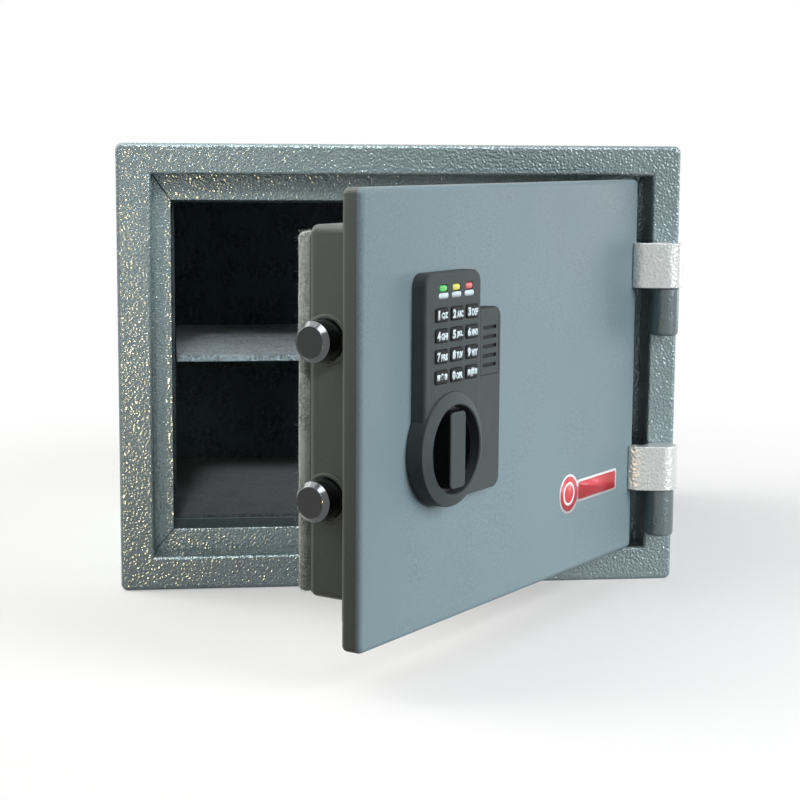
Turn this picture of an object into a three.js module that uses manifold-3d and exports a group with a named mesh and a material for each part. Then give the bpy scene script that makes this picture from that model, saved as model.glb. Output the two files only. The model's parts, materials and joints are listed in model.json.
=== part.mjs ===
// Office safe: a double-walled steel cabinet with a swinging door, a keypad lock and two sliding bolts.
// Millimetres, +Z up. The origin is the middle of the cabinet's bottom face and the front faces -Y.

import * as THREE from "three";
import { mergeVertices } from "three/addons/utils/BufferGeometryUtils.js";
import Module from "manifold-3d";

const wasm = await Module();
wasm.setup();

// Fits between neighbouring pieces
const GAP = 0.3;
const SLIDE_FIT = 0.3;

// How far in from a square corner the middle of a rounded one lies, as a share of its radius
const ROUND_MIDDLE = 1 - Math.SQRT1_2;

// Cabinet
const WIDTH = 412;
const HEIGHT = 325;
const DEPTH = 363;
const SHELL_SHEET = 2;
const SHELL_CORNER = 5;
const SHELL_EDGE = 3;
const BACK_SHEET = 2;
const FRAME_LEFT = 24.7;
const FRAME_RIGHT = 21.6;
const FRAME_TOP = 22.2;
const FRAME_BOTTOM = 25.2;
const REBATE_DEPTH = 25.4;
const REBATE_EDGE = 3;
const LEDGE_SIDE = 13.7;
const LEDGE_TOP = 19;
const LEDGE_BOTTOM = 15.5;
const JAMB_SHEET = 2;
const JAMB_RETURN = 36;
const MITRE_SEAM = 0.3;
const LINER_SHEET = 1;
const BACK_WALL = 40;
const LINING = 2.5;

// Shelf
const SHELF_TOP = 164.5;
const SHELF_SETBACK = 77;
const SHELF_BOARD = 2.5;
const SHELF_FELT = 2;
const SHELF_LIP = 5;
const SHELF_SIDE_FIT = 1;
const RAIL_LEG = 12;
const RAIL_SHEET = 1.5;
const RAIL_SETBACK = 8;

// Hinges
const HINGE_INSET = 13;
const HINGE_REACH = 10.7;
const HINGE_LOWER_JOINT = 72;
const HINGE_UPPER_JOINT = 222;
const BARREL_RADIUS = 10.4;
const BARREL_LENGTH = 35;
const BARREL_EDGE = 2.5;
const BARREL_FOOT = 14;
const STRAP_LENGTH = 33;
const STRAP_KNUCKLE = 12.3;
const STRAP_END = 19;
const STRAP_THICKNESS = 9;
const STRAP_STOP_ANGLE = 155;
const PIN_RADIUS = 4.5;
const PIN_BOTTOM_WALL = 6;
const PIN_TOP_WALL = 6;

// Door
const DOOR_OPEN_ANGLE = 50;
const DOOR_RECESS = 7;
const DOOR_CLEARANCE = 2;
const PAN_DEPTH = 14.5;
const PAN_PLATE = 3;
const PAN_SHEET = 2;
const PAN_EDGE = 3.5;
const PAN_CORNER = 4;
const BOX_SIDE_INSET = 17.8;
const BOX_TOP_INSET = 22.7;
const BOX_BOTTOM_INSET = 25.1;
const BOX_DEPTH = 50;
const BOX_SHEET = 1.5;
const BOX_CORNER = 5;
const BOX_EDGE = 4;
const BOX_FLANGE = 12;
const PANEL_SIDE_INSET = 3.5;
const PANEL_TOP_INSET = 4.5;
const PANEL_BOTTOM_INSET = 1.2;
const PANEL_PLATE = 1.5;
const PANEL_FELT = 10;
const PANEL_CORNER = 4;
const PANEL_FELT_EDGE = 3;
const SEAL_OFFSET = 4;
const SEAL_WIDTH = 8;
const SEAL_THICKNESS = 2.5;

// Boltwork
const BOLT_RADIUS = 12.5;
const BOLT_THROW = 17;
const BOLT_DEPTH = 37;
const BOLT_UPPER = 210;
const BOLT_LOWER = 114.5;
const BOLT_CHAMFER = 3;
const BOLT_HOLE_FIT = 0.8;
const BOLT_SPIGOT = 5;
const BOLT_SPIGOT_HEAD = 2;
const GUIDE_PLATE = 4;
const GUIDE_MARGIN = 15;
const BOLT_SHANK = 21;
const CARRIAGE_SHEET = 3;
const CARRIAGE_MARGIN = 14.5;
const CARRIAGE_WEB = 69;
const CARRIAGE_FLANGE = 9;
const CAM_RADIUS = 17;
const CAM_SHEET = 4;
const CAM_THROW_RADIUS = 12.4;
const CAM_PIN_RADIUS = 3;
const CAM_TURN = 90;
const YOKE_FIT = 0.6;
const POCKET_FIT = 2;
const POCKET_END = 4;
const FIXED_BOLT_RADIUS = 8;
const FIXED_BOLT_REACH = 12;
const FIXED_BOLT_FLANGE = 3;
const FIXED_BOLT_CHAMFER = 1.6;
const BAY_MARGIN = 16;
const BAY_WIDTH = 114;

// Solenoid
const PLUNGER_RADIUS = 3.5;
const PLUNGER_LENGTH = 22;
const PLUNGER_REST = 0.6;
const NOTCH_DEPTH = 8;
const NOTCH_FIT = 0.6;
const PLUNGER_FROM_KNOB = 18.5;
const SOLENOID_LENGTH = 26;
const SOLENOID_WIDTH = 22;
const SOLENOID_DEPTH = 20;
const SOLENOID_FOOT = 17;
const SOLENOID_CLEARANCE = 6;
const SOLENOID_BASE = 3;
const SPRING_RADIUS = 2.4;
const SPRING_WIRE = 0.35;
const SPRING_TURNS = 4;

// Lock body on the door's face. Its places across the door are measured from the knob's axis.
const KNOB_INSET = 83.8;
const KNOB_Z = 140;
const KNOB_RADIUS = 27.2;
const RING_RADIUS = 35.8;
const RING_HEIGHT = 12;
const RING_CREST = 14.7;
const RING_EDGE = 1.5;
const RING_LIP = 0.7;
const COLUMN_LEFT = -30;
const COLUMN_RIGHT = 35;
const COLUMN_TOP = 249;
const COLUMN_HEIGHT = 10;
const COLUMN_CORNER = 8;
const COLUMN_EDGE = 2;
const SIDE_RIGHT = 64.5;
const SIDE_TOP = 224;
const SIDE_BOTTOM = 107.5;
const SIDE_HEIGHT = 7.5;
const SIDE_CORNER = 7.5;
const SIDE_EDGE = 1.2;
const LOCK_WALL = 2;
const BOARD_SHEET = 1.6;
const BOARD_HEIGHT = 2;
const KEY_MIDDLE = 5.4;
const KEY_TOP_ROW = 223.5;
const KEY_PITCH_X = 17.8;
const KEY_PITCH_Z = 12.6;
const KEY_WIDTH = 14.4;
const KEY_TALL = 8.2;
const KEY_CORNER = 1.6;
const KEY_PROUD = 1;
const KEY_FLANGE = 0.9;
const KEY_FLANGE_SHEET = 1.7;
const MAT_SHEET = 0.5;
const MAT_MARGIN = 2;
const DOME_RADIUS = 2.6;
const LED_Z = 239.4;
const LED_MIDDLE = 4.8;
const LED_PITCH = 15;
const LED_WIDTH = 8.8;
const LED_TALL = 4.4;
const LED_PROUD = 0.4;

// Knob
const KNOB_FLOOR = 2.7;
const KNOB_RIM_WALL = 1.8;
const KNOB_RIM_HEIGHT = 9;
const GRIP_LENGTH = 47.5;
// A lower foot under the grip, which joins the dish's rim at both ends
const GRIP_FOOT_HEIGHT = 7.6;
const GRIP_WIDTH = 17.4;
const GRIP_HEIGHT = 15.6;
const GRIP_CORNER = 3;
const GRIP_EDGE = 1;
const SPINDLE_RADIUS = 4;

// Battery compartment
const COVER_BOTTOM = 181.3;
const COVER_LEFT = 38.8;
const COVER_RIGHT = 61.2;
const COVER_SHEET = 1.9;
const COVER_TONGUE = 1.2;
const COVER_TONGUE_SHEET = 0.8;
const GROOVE_COUNT = 5;
const GROOVE_TOP = 211.2;
const GROOVE_PITCH = 5.95;
const GROOVE_WIDTH = 16.4;
const GROOVE_TALL = 2.2;
const GROOVE_DEPTH = 1.1;
const CELL_RADIUS = 5.25;
const CELL_LENGTH = 44.5;
const TRAY_SHEET = 1.2;
const TRAY_TOP = 221.5;
const TRAY_INSIDE = 13.5;

// Derived places
const front = -DEPTH / 2;
const back = DEPTH / 2;
const body = { x0: -WIDTH / 2, x1: WIDTH / 2, z0: 0, z1: HEIGHT };
const rebate = {
  x0: body.x0 + FRAME_LEFT,
  x1: body.x1 - FRAME_RIGHT,
  z0: body.z0 + FRAME_BOTTOM,
  z1: body.z1 - FRAME_TOP,
};
const opening = {
  x0: rebate.x0 + LEDGE_SIDE,
  x1: rebate.x1 - LEDGE_SIDE,
  z0: rebate.z0 + LEDGE_BOTTOM,
  z1: rebate.z1 - LEDGE_TOP,
};
const ledgeFront = front + REBATE_DEPTH;
const jambEnd = ledgeFront + JAMB_RETURN;
const linerBack = back - BACK_WALL;
const hinge = { x: body.x1 - HINGE_INSET, y: front - HINGE_REACH };
const doorFace = front + DOOR_RECESS;
const doorLeaf = grow(rebate, -DOOR_CLEARANCE);
const panBack = doorFace + PAN_DEPTH;
const plateBack = doorFace + PAN_PLATE;
const innerBox = {
  x0: doorLeaf.x0 + BOX_SIDE_INSET,
  x1: doorLeaf.x1 - BOX_SIDE_INSET,
  z0: doorLeaf.z0 + BOX_BOTTOM_INSET,
  z1: doorLeaf.z1 - BOX_TOP_INSET,
};
const boxBack = doorFace + BOX_DEPTH;
const boltAxis = doorFace + BOLT_DEPTH;
const boltFlange = innerBox.x0 + BOLT_SHANK;
const carriage = {
  x0: boltFlange,
  x1: boltFlange + CARRIAGE_WEB + CARRIAGE_SHEET,
  z0: BOLT_LOWER - CARRIAGE_MARGIN,
  z1: BOLT_UPPER + CARRIAGE_MARGIN,
};
const webFront = boltAxis - BOLT_RADIUS - CARRIAGE_SHEET;
const webBack = webFront + CARRIAGE_SHEET;
const knobX = doorLeaf.x0 + KNOB_INSET;
const lock = {
  columnLeft: knobX + COLUMN_LEFT,
  columnRight: knobX + COLUMN_RIGHT,
  sideRight: knobX + SIDE_RIGHT,
  keyMiddle: knobX + KEY_MIDDLE,
  ledMiddle: knobX + LED_MIDDLE,
  coverLeft: knobX + COVER_LEFT,
  coverRight: knobX + COVER_RIGHT,
};
const plungerX = knobX + PLUNGER_FROM_KNOB;
const solenoidTop = carriage.z0 - SOLENOID_CLEARANCE;
const bay = {
  x0: innerBox.x0 + BOX_SHEET,
  x1: innerBox.x0 + BAY_WIDTH,
  z0: solenoidTop - SOLENOID_LENGTH - GAP,
  z1: carriage.z1 + BAY_MARGIN,
};

// Paints and finishes, one new material for each piece
const finish = {
  hammertone: () => surface(0x8a918e, 0.45, 0.55),
  doorPaint: () => surface(0x8b9da3, 0.42, 0.5),
  steel: () => surface(0x9a9c9d, 0.4, 0.9),
  chrome: () => surface(0xd5d8da, 0.12, 1),
  insulation: () => surface(0xcfcac0, 0.95, 0),
  darkFelt: () => surface(0x17191a, 0.95, 0),
  greyFelt: () => surface(0x7a808a, 0.95, 0),
  rubber: () => surface(0x1b1b1c, 0.85, 0),
  lockPlastic: () => surface(0x54595a, 0.5, 0),
  keyPlastic: () => surface(0x1d2124, 0.45, 0),
  board: () => surface(0x1f5a35, 0.6, 0.1),
  cell: () => surface(0x35383b, 0.4, 0.3),
  lamp: (colour) => surface(colour, 0.25, 0),
};

function surface(color, roughness, metalness) {
  return new THREE.MeshStandardMaterial({ color, roughness, metalness });
}

// Rectangles in the plane of the front, x across and z up
function grow(r, by) {
  return { x0: r.x0 - by, x1: r.x1 + by, z0: r.z0 - by, z1: r.z1 + by };
}

function outline(r, corner = 0) {
  const shape = new THREE.Shape();
  if (corner <= 0) {
    shape.moveTo(r.x0, r.z0);
    shape.lineTo(r.x1, r.z0);
    shape.lineTo(r.x1, r.z1);
    shape.lineTo(r.x0, r.z1);
    shape.closePath();
    return shape;
  }
  shape.absarc(r.x1 - corner, r.z0 + corner, corner, -Math.PI / 2, 0);
  shape.absarc(r.x1 - corner, r.z1 - corner, corner, 0, Math.PI / 2);
  shape.absarc(r.x0 + corner, r.z1 - corner, corner, Math.PI / 2, Math.PI);
  shape.absarc(r.x0 + corner, r.z0 + corner, corner, Math.PI, Math.PI * 1.5);
  shape.closePath();
  return shape;
}

// Closed geometry to a solid that can be cut and joined, and back
function solid(geometry) {
  const bare = geometry.clone();
  bare.deleteAttribute("normal");
  bare.deleteAttribute("uv");
  const merged = mergeVertices(bare, 1e-4);
  return new wasm.Manifold(new wasm.Mesh({
    numProp: 3,
    vertProperties: merged.attributes.position.array,
    triVerts: merged.index.array,
  }));
}

function faces(manifold) {
  const mesh = manifold.getMesh();
  const geometry = new THREE.BufferGeometry();
  geometry.setAttribute("position", new THREE.BufferAttribute(mesh.vertProperties, 3));
  geometry.setIndex(new THREE.BufferAttribute(mesh.triVerts, 1));
  geometry.computeVertexNormals();
  return geometry;
}

// An outline in x and z, carried from the depth y0 to the depth y1, with both rims rounded by edge
function slab(shape, y0, y1, { edge = 0, steps = 3, curve = 4 } = {}) {
  const geometry = new THREE.ExtrudeGeometry(shape, {
    depth: y1 - y0 - 2 * edge,
    curveSegments: curve,
    bevelEnabled: edge > 0,
    bevelThickness: edge,
    bevelSize: edge,
    bevelOffset: -edge,
    bevelSegments: steps,
  });
  geometry.rotateX(Math.PI / 2);
  geometry.translate(0, y1 - edge, 0);
  return solid(geometry);
}

function plate(r, y0, y1, corner = 0) {
  return slab(outline(r, corner), y0, y1);
}

// An outline in x and y, carried up from z0 to z1
function column(shape, z0, z1, curve = 12) {
  const geometry = new THREE.ExtrudeGeometry(shape, {
    depth: z1 - z0,
    curveSegments: curve,
    bevelEnabled: false,
  });
  geometry.translate(0, 0, z0);
  return solid(geometry);
}

function block(x0, x1, y0, y1, z0, z1) {
  const geometry = new THREE.BoxGeometry(x1 - x0, y1 - y0, z1 - z0);
  geometry.translate((x0 + x1) / 2, (y0 + y1) / 2, (z0 + z1) / 2);
  return solid(geometry);
}

// A profile of [radius, height] points turned round an axis that points along "x", "-y" or "z"
function turned(profile, along, sides = 40) {
  const geometry = new THREE.LatheGeometry(profile.map(([r, h]) => new THREE.Vector2(r, h)), sides);
  if (along === "x") {
    geometry.rotateZ(-Math.PI / 2);
  } else if (along === "-y") {
    geometry.rotateX(Math.PI);
  } else {
    geometry.rotateX(Math.PI / 2);
  }
  return solid(geometry);
}

function rod(radius, from, to, along, sides = 32) {
  return turned([[0, from], [radius, from], [radius, to], [0, to]], along, sides);
}

function at(manifold, x, y, z) {
  return manifold.translate([x, y, z]);
}

function add(group, name, manifold, material) {
  const mesh = new THREE.Mesh(faces(manifold), material);
  mesh.name = name;
  group.add(mesh);
  return mesh;
}

// Cabinet
const cabinet = new THREE.Group();

// The room of the rebate, which widens in a quarter round where its walls meet the front
function rebateCut() {
  const ahead = 0.1;
  const geometry = new THREE.ExtrudeGeometry(outline(rebate), {
    depth: REBATE_DEPTH,
    bevelEnabled: true,
    bevelThickness: REBATE_EDGE,
    bevelSize: -REBATE_EDGE,
    bevelOffset: REBATE_EDGE,
    bevelSegments: 4,
  });
  geometry.rotateX(Math.PI / 2);
  geometry.translate(0, front - ahead + REBATE_DEPTH + REBATE_EDGE, 0);
  return solid(geometry);
}

function outerShell() {
  const past = 20;
  const outside = slab(outline(body, SHELL_CORNER), front, back + past, { edge: SHELL_EDGE });
  const hollow = plate(
    grow(body, -SHELL_SHEET), front + SHELL_SHEET, back + 2 * past, SHELL_CORNER - SHELL_SHEET);
  const rebateWall = plate(grow(rebate, SHELL_SHEET), front + SHELL_SHEET / 2, ledgeFront);
  const beyond = block(body.x0 - past, body.x1 + past, back, back + 3 * past, -past, HEIGHT + past);
  return outside.subtract(hollow).add(rebateWall).subtract(rebateCut()).subtract(beyond);
}

function backPanel() {
  const inside = grow(body, -SHELL_SHEET - GAP);
  return plate(inside, back - BACK_SHEET, back, SHELL_CORNER - SHELL_SHEET);
}

// The ledge that the door closes on, with a wall that turns back along the opening
function jambFrame() {
  const past = 5;
  const face = plate(grow(rebate, SHELL_SHEET), ledgeFront, ledgeFront + JAMB_SHEET);
  const wall = plate(grow(opening, JAMB_SHEET), ledgeFront, jambEnd);
  return face.add(wall).subtract(plate(opening, ledgeFront - past, jambEnd + past));
}

function wedge(corners) {
  const past = 5;
  const shape = new THREE.Shape(corners.map(([x, z]) => new THREE.Vector2(x, z)));
  return slab(shape, ledgeFront - past, jambEnd + past);
}

// A thin cut along the line between two corners, where two mitred sides meet
function mitreCut([x0, z0], [x1, z1]) {
  const past = 5;
  const length = Math.hypot(x1 - x0, z1 - z0);
  const ux = (x1 - x0) / length;
  const uz = (z1 - z0) / length;
  const sx = -uz * MITRE_SEAM / 2;
  const sz = ux * MITRE_SEAM / 2;
  const a = [x0 - ux * past, z0 - uz * past];
  const b = [x1 + ux * past, z1 + uz * past];
  return wedge([
    [a[0] - sx, a[1] - sz],
    [b[0] - sx, b[1] - sz],
    [b[0] + sx, b[1] + sz],
    [a[0] + sx, a[1] + sz],
  ]);
}

// Where a round bolt enters the left or right jamb and the filling behind it
function boltPocket(x, towards, radius, reach, z) {
  const profile = [[0, -JAMB_SHEET], [radius, -JAMB_SHEET], [radius, reach], [0, reach]];
  const pocket = turned(profile, "x", 24);
  return at(towards > 0 ? pocket : pocket.rotate([0, 180, 0]), x, boltAxis, z);
}

function boltPockets() {
  const liveReach = opening.x0 - (innerBox.x0 - BOLT_THROW) + POCKET_END;
  const fixedReach = innerBox.x1 + FIXED_BOLT_REACH - opening.x1 + POCKET_END;
  const live = (z) => boltPocket(opening.x0, -1, BOLT_RADIUS + POCKET_FIT, liveReach, z);
  const fixed = (z) => boltPocket(opening.x1, 1, FIXED_BOLT_RADIUS + 2 * POCKET_FIT, fixedReach, z);
  return live(BOLT_UPPER).add(live(BOLT_LOWER)).add(fixed(BOLT_UPPER)).add(fixed(BOLT_LOWER));
}

function cabinetInsulation(pockets) {
  const past = 1;
  const fill = plate(grow(body, -SHELL_SHEET - GAP), front + SHELL_SHEET + GAP, back - BACK_SHEET - GAP,
    SHELL_CORNER - SHELL_SHEET);
  const ledgeRoom = plate(grow(rebate, SHELL_SHEET + GAP), front - past, ledgeFront + JAMB_SHEET + GAP);
  const wallRoom = plate(grow(opening, JAMB_SHEET + GAP), front, jambEnd + GAP);
  const linerRoom = plate(grow(opening, LINER_SHEET + GAP), front, linerBack + GAP);
  return fill.subtract(ledgeRoom).subtract(wallRoom).subtract(linerRoom).subtract(pockets);
}

function innerLiner() {
  const past = 1;
  const outside = plate(grow(opening, LINER_SHEET), jambEnd, linerBack);
  return outside.subtract(plate(opening, jambEnd - past, linerBack - LINER_SHEET));
}

const frame = jambFrame();
const pockets = boltPockets();
const corner = (r, right, top) => [right ? r.x1 : r.x0, top ? r.z1 : r.z0];
const mitres = [[false, false], [true, false], [true, true], [false, true]]
  .map(([right, top]) => mitreCut(corner(rebate, right, top), corner(opening, right, top)));
const mitredFrame = mitres.reduce((left, cut) => left.subtract(cut), frame);
// Each side of the frame is bounded by the two mitre lines, which run on past the ledge's outer corners
const outward = (right, top) => {
  const [ox, oz] = corner(opening, right, top);
  const [rx, rz] = corner(rebate, right, top);
  return [rx + (rx - ox), rz + (rz - oz)];
};
const inner = (right, top) => corner(opening, right, top);
const jambs = {
  jamb_bottom: [outward(false, false), outward(true, false), inner(true, false), inner(false, false)],
  jamb_right: [outward(true, false), outward(true, true), inner(true, true), inner(true, false)],
  jamb_top: [outward(true, true), outward(false, true), inner(false, true), inner(true, true)],
  jamb_left: [outward(false, true), outward(false, false), inner(false, false), inner(false, true)],
};

add(cabinet, "outer_shell", outerShell(), finish.hammertone());
add(cabinet, "back_panel", backPanel(), finish.hammertone());
for (const [name, corners] of Object.entries(jambs)) {
  add(cabinet, name, mitredFrame.intersect(wedge(corners)).subtract(pockets), finish.hammertone());
}
add(cabinet, "cabinet_insulation", cabinetInsulation(pockets), finish.insulation());
add(cabinet, "inner_liner", innerLiner(), finish.steel());

// Lining of dark felt: a floor, a ceiling and one sheet folded round the three walls
const liningFront = jambEnd + GAP;
const liningBack = linerBack - LINER_SHEET;
const room = grow(opening, -LINING);

function wallLining() {
  const past = 1;
  const band = { ...opening, z0: room.z0, z1: room.z1 };
  const within = { ...room, z0: room.z0 - past, z1: room.z1 + past };
  const hollow = plate(within, liningFront - past, liningBack - LINING);
  return plate(band, liningFront, liningBack).subtract(hollow);
}

add(cabinet, "felt_floor", plate({ ...opening, z1: room.z0 }, liningFront, liningBack), finish.darkFelt());
add(cabinet, "felt_ceiling", plate({ ...opening, z0: room.z1 }, liningFront, liningBack), finish.darkFelt());
add(cabinet, "felt_walls", wallLining(), finish.darkFelt());

// Shelf on two angle rails
const shelf = new THREE.Group();
const shelfFront = front + SHELF_SETBACK;
const shelfBack = liningBack - LINING - SHELF_SIDE_FIT;
const boardTop = SHELF_TOP - SHELF_FELT;
const boardBottom = boardTop - SHELF_BOARD;
const shelfLeft = room.x0 + SHELF_SIDE_FIT;
const shelfRight = room.x1 - SHELF_SIDE_FIT;

function shelfRail(wall, towards) {
  const reach = wall + towards * RAIL_LEG;
  const skin = wall + towards * RAIL_SHEET;
  const from = shelfFront + RAIL_SETBACK;
  const to = shelfBack - RAIL_SETBACK;
  const leg = (end, depth) => block(
    Math.min(wall, end), Math.max(wall, end), from, to, boardBottom - depth, boardBottom);
  return leg(reach, RAIL_SHEET).add(leg(skin, RAIL_LEG));
}

function shelfFelt() {
  const top = block(shelfLeft, shelfRight, shelfFront, shelfBack, boardTop, SHELF_TOP);
  const lipBack = shelfFront + SHELF_FELT;
  const lip = block(shelfLeft, shelfRight, shelfFront, lipBack, SHELF_TOP - SHELF_LIP, SHELF_TOP);
  return top.add(lip);
}

add(cabinet, "shelf_rail_left", shelfRail(room.x0, 1), finish.steel());
add(cabinet, "shelf_rail_right", shelfRail(room.x1, -1), finish.steel());
const boardEdge = shelfFront + SHELF_FELT + GAP;
const shelfBoard = block(shelfLeft, shelfRight, boardEdge, shelfBack, boardBottom, boardTop);
add(shelf, "shelf_board", shelfBoard, finish.steel());
add(shelf, "shelf_felt", shelfFelt(), finish.greyFelt());

// Hinges: a barrel with a pin on the cabinet below, a strap on the door above
function barrel() {
  const e = BARREL_EDGE;
  const round = turned([
    [0, -BARREL_LENGTH],
    [BARREL_RADIUS - e, -BARREL_LENGTH],
    [BARREL_RADIUS - e * ROUND_MIDDLE, -BARREL_LENGTH + e * ROUND_MIDDLE],
    [BARREL_RADIUS, -BARREL_LENGTH + e],
    [BARREL_RADIUS, -GAP],
    [0, -GAP],
  ], "z");
  const foot = block(-BARREL_FOOT / 2, BARREL_FOOT / 2, 0, HINGE_REACH, -BARREL_LENGTH + e, -GAP);
  const bore = rod(PIN_RADIUS + GAP, -BARREL_LENGTH + PIN_BOTTOM_WALL - GAP, GAP, "z");
  return round.add(foot).subtract(bore);
}

function pin() {
  return rod(PIN_RADIUS, -BARREL_LENGTH + PIN_BOTTOM_WALL, STRAP_LENGTH - PIN_TOP_WALL, "z");
}

// The strap's plan, seen from above with the door closed: a foot on the door's face, an outer face that
// runs out to the knuckle round the pin, and a flat that meets the cabinet when the door is wide open.
function strapOutline() {
  const face = HINGE_REACH + DOOR_RECESS - GAP;
  const outerFace = face - STRAP_THICKNESS + GAP;
  const endDistance = Math.hypot(STRAP_END, outerFace);
  const tangent = Math.atan2(-outerFace, STRAP_END) + Math.acos(STRAP_KNUCKLE / endDistance);
  const stop = THREE.MathUtils.degToRad(STRAP_STOP_ANGLE);
  const stopHalf = Math.acos(BARREL_RADIUS / STRAP_KNUCKLE);
  const points = [[STRAP_END, -face], [STRAP_END, -outerFace]];
  const arc = (from, to, radius, count) => {
    for (let i = 0; i <= count; i += 1) {
      const angle = from + (to - from) * (i / count);
      points.push([radius * Math.cos(angle), radius * Math.sin(angle)]);
    }
  };
  arc(tangent, stop - stopHalf, STRAP_KNUCKLE, 10);
  arc(stop, Math.PI * 1.5, BARREL_RADIUS, 10);
  const overDoor = hinge.x - doorLeaf.x1;
  points.push([overDoor, -BARREL_RADIUS]);
  points.push([overDoor, -face]);
  return new THREE.Shape(points.map(([u, n]) => new THREE.Vector2(-u, -n)).reverse());
}

function strap() {
  const bore = rod(PIN_RADIUS + GAP, -GAP, STRAP_LENGTH - PIN_TOP_WALL + GAP, "z");
  return column(strapOutline(), GAP, STRAP_LENGTH).subtract(bore);
}

const hinges = { lower: HINGE_LOWER_JOINT, upper: HINGE_UPPER_JOINT };
for (const [name, z] of Object.entries(hinges)) {
  const fixed = new THREE.Group();
  fixed.position.set(hinge.x, hinge.y, z);
  add(fixed, `hinge_barrel_${name}`, barrel(), finish.hammertone());
  add(fixed, `hinge_pin_${name}`, pin(), finish.steel());
  cabinet.add(fixed);
}

// Door. Its pieces are placed as if it were closed, and the group turns them about the hinge axis.
const doorSwing = new THREE.Group();
const door = new THREE.Group();
doorSwing.position.set(hinge.x, hinge.y, 0);
doorSwing.rotation.z = THREE.MathUtils.degToRad(DOOR_OPEN_ANGLE);
door.position.set(-hinge.x, -hinge.y, 0);
doorSwing.add(door);

const trayInner = {
  x0: (lock.coverLeft + lock.coverRight) / 2 - 2 * CELL_RADIUS - GAP,
  x1: (lock.coverLeft + lock.coverRight) / 2 + 2 * CELL_RADIUS + GAP,
  z0: TRAY_TOP - TRAY_SHEET - CELL_LENGTH - 2 * GAP,
  z1: TRAY_TOP - TRAY_SHEET,
};
const tray = grow(trayInner, TRAY_SHEET);
const trayFront = doorFace - SIDE_HEIGHT + COVER_SHEET + 2 * GAP;
const trayBack = trayFront + TRAY_INSIDE + TRAY_SHEET;

function doorPan() {
  const past = 5;
  const outside = slab(outline(doorLeaf, PAN_CORNER), doorFace, panBack, { edge: PAN_EDGE });
  const hollow = plate(grow(doorLeaf, -PAN_SHEET), plateBack, panBack - PAN_SHEET);
  const backOpening = plate(grow(innerBox, GAP), plateBack, panBack + past, BOX_CORNER);
  const spindleHole = at(rod(SPINDLE_RADIUS + GAP, -past, past, "-y"), knobX, doorFace, KNOB_Z);
  const trayHole = plate(grow(tray, GAP), doorFace - past, plateBack + past);
  return outside.subtract(hollow).subtract(backOpening).subtract(spindleHole).subtract(trayHole);
}

function doorBox() {
  const past = 20;
  const start = plateBack + GAP;
  const outside = slab(outline(innerBox, BOX_CORNER), start - past, boxBack, { edge: BOX_EDGE });
  const inside = grow(innerBox, -BOX_SHEET);
  const hollow = plate(inside, start - 2 * past, boxBack - BOX_SHEET, BOX_CORNER - BOX_SHEET);
  const service = plate(grow(innerBox, -BOX_FLANGE), start, boxBack + past);
  const ahead = block(innerBox.x0 - past, innerBox.x1 + past, start - 3 * past, start, 0, HEIGHT);
  const holes = [BOLT_UPPER, BOLT_LOWER].map((z) => at(
    rod(BOLT_RADIUS + BOLT_HOLE_FIT, -past, BOX_SHEET + past, "x"), innerBox.x0, boltAxis, z));
  const fixedHoles = [BOLT_UPPER, BOLT_LOWER].map((z) => at(
    rod(FIXED_BOLT_RADIUS + GAP, -past, past, "x"), innerBox.x1, boltAxis, z));
  const cuts = [hollow, service, ahead, ...holes, ...fixedHoles];
  return cuts.reduce((left, cut) => left.subtract(cut), outside);
}

function doorInsulation() {
  const past = 1;
  const inside = grow(innerBox, -BOX_SHEET - GAP);
  const fill = plate(inside, plateBack + GAP, boxBack - BOX_SHEET - GAP, BOX_CORNER - BOX_SHEET);
  const works = plate({ ...bay, x0: bay.x0 - past }, plateBack - past, boxBack + past);
  const trayRoom = plate(grow(tray, GAP), plateBack - past, trayBack + GAP);
  const fixedRoom = [BOLT_UPPER, BOLT_LOWER].map((z) => at(
    rod(FIXED_BOLT_RADIUS + FIXED_BOLT_FLANGE + GAP, -FIXED_BOLT_FLANGE - BOX_SHEET - 2 * GAP, past, "x"),
    innerBox.x1, boltAxis, z));
  return fixedRoom.reduce((left, cut) => left.subtract(cut), fill.subtract(works).subtract(trayRoom));
}

const panel = {
  x0: innerBox.x0 + PANEL_SIDE_INSET,
  x1: innerBox.x1 - PANEL_SIDE_INSET,
  z0: innerBox.z0 + PANEL_BOTTOM_INSET,
  z1: innerBox.z1 - PANEL_TOP_INSET,
};
const panelFront = boxBack + GAP;
const feltFront = panelFront + PANEL_PLATE + GAP;

function doorBackFelt() {
  const past = PANEL_CORNER;
  const shape = outline(panel, PANEL_CORNER);
  const pad = slab(shape, feltFront - past, feltFront + PANEL_FELT, { edge: PANEL_FELT_EDGE });
  return pad.subtract(plate(grow(panel, past), feltFront - 2 * past, feltFront));
}

function doorSeal() {
  const past = 1;
  const from = panBack + GAP;
  const to = from + SEAL_THICKNESS;
  const outside = plate(grow(innerBox, SEAL_OFFSET + SEAL_WIDTH), from, to, BOX_CORNER);
  return outside.subtract(plate(grow(innerBox, SEAL_OFFSET), from - past, to + past, BOX_CORNER));
}

add(door, "door_pan", doorPan(), finish.doorPaint());
add(door, "door_inner_box", doorBox(), finish.hammertone());
add(door, "door_insulation", doorInsulation(), finish.insulation());
const backPlate = plate(panel, panelFront, panelFront + PANEL_PLATE, PANEL_CORNER);
add(door, "door_back_plate", backPlate, finish.steel());
add(door, "door_back_felt", doorBackFelt(), finish.greyFelt());
add(door, "door_seal", doorSeal(), finish.rubber());
for (const [name, z] of Object.entries(hinges)) {
  const mesh = add(door, `hinge_strap_${name}`, strap(), finish.hammertone());
  mesh.position.set(hinge.x, hinge.y, z);
}

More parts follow.
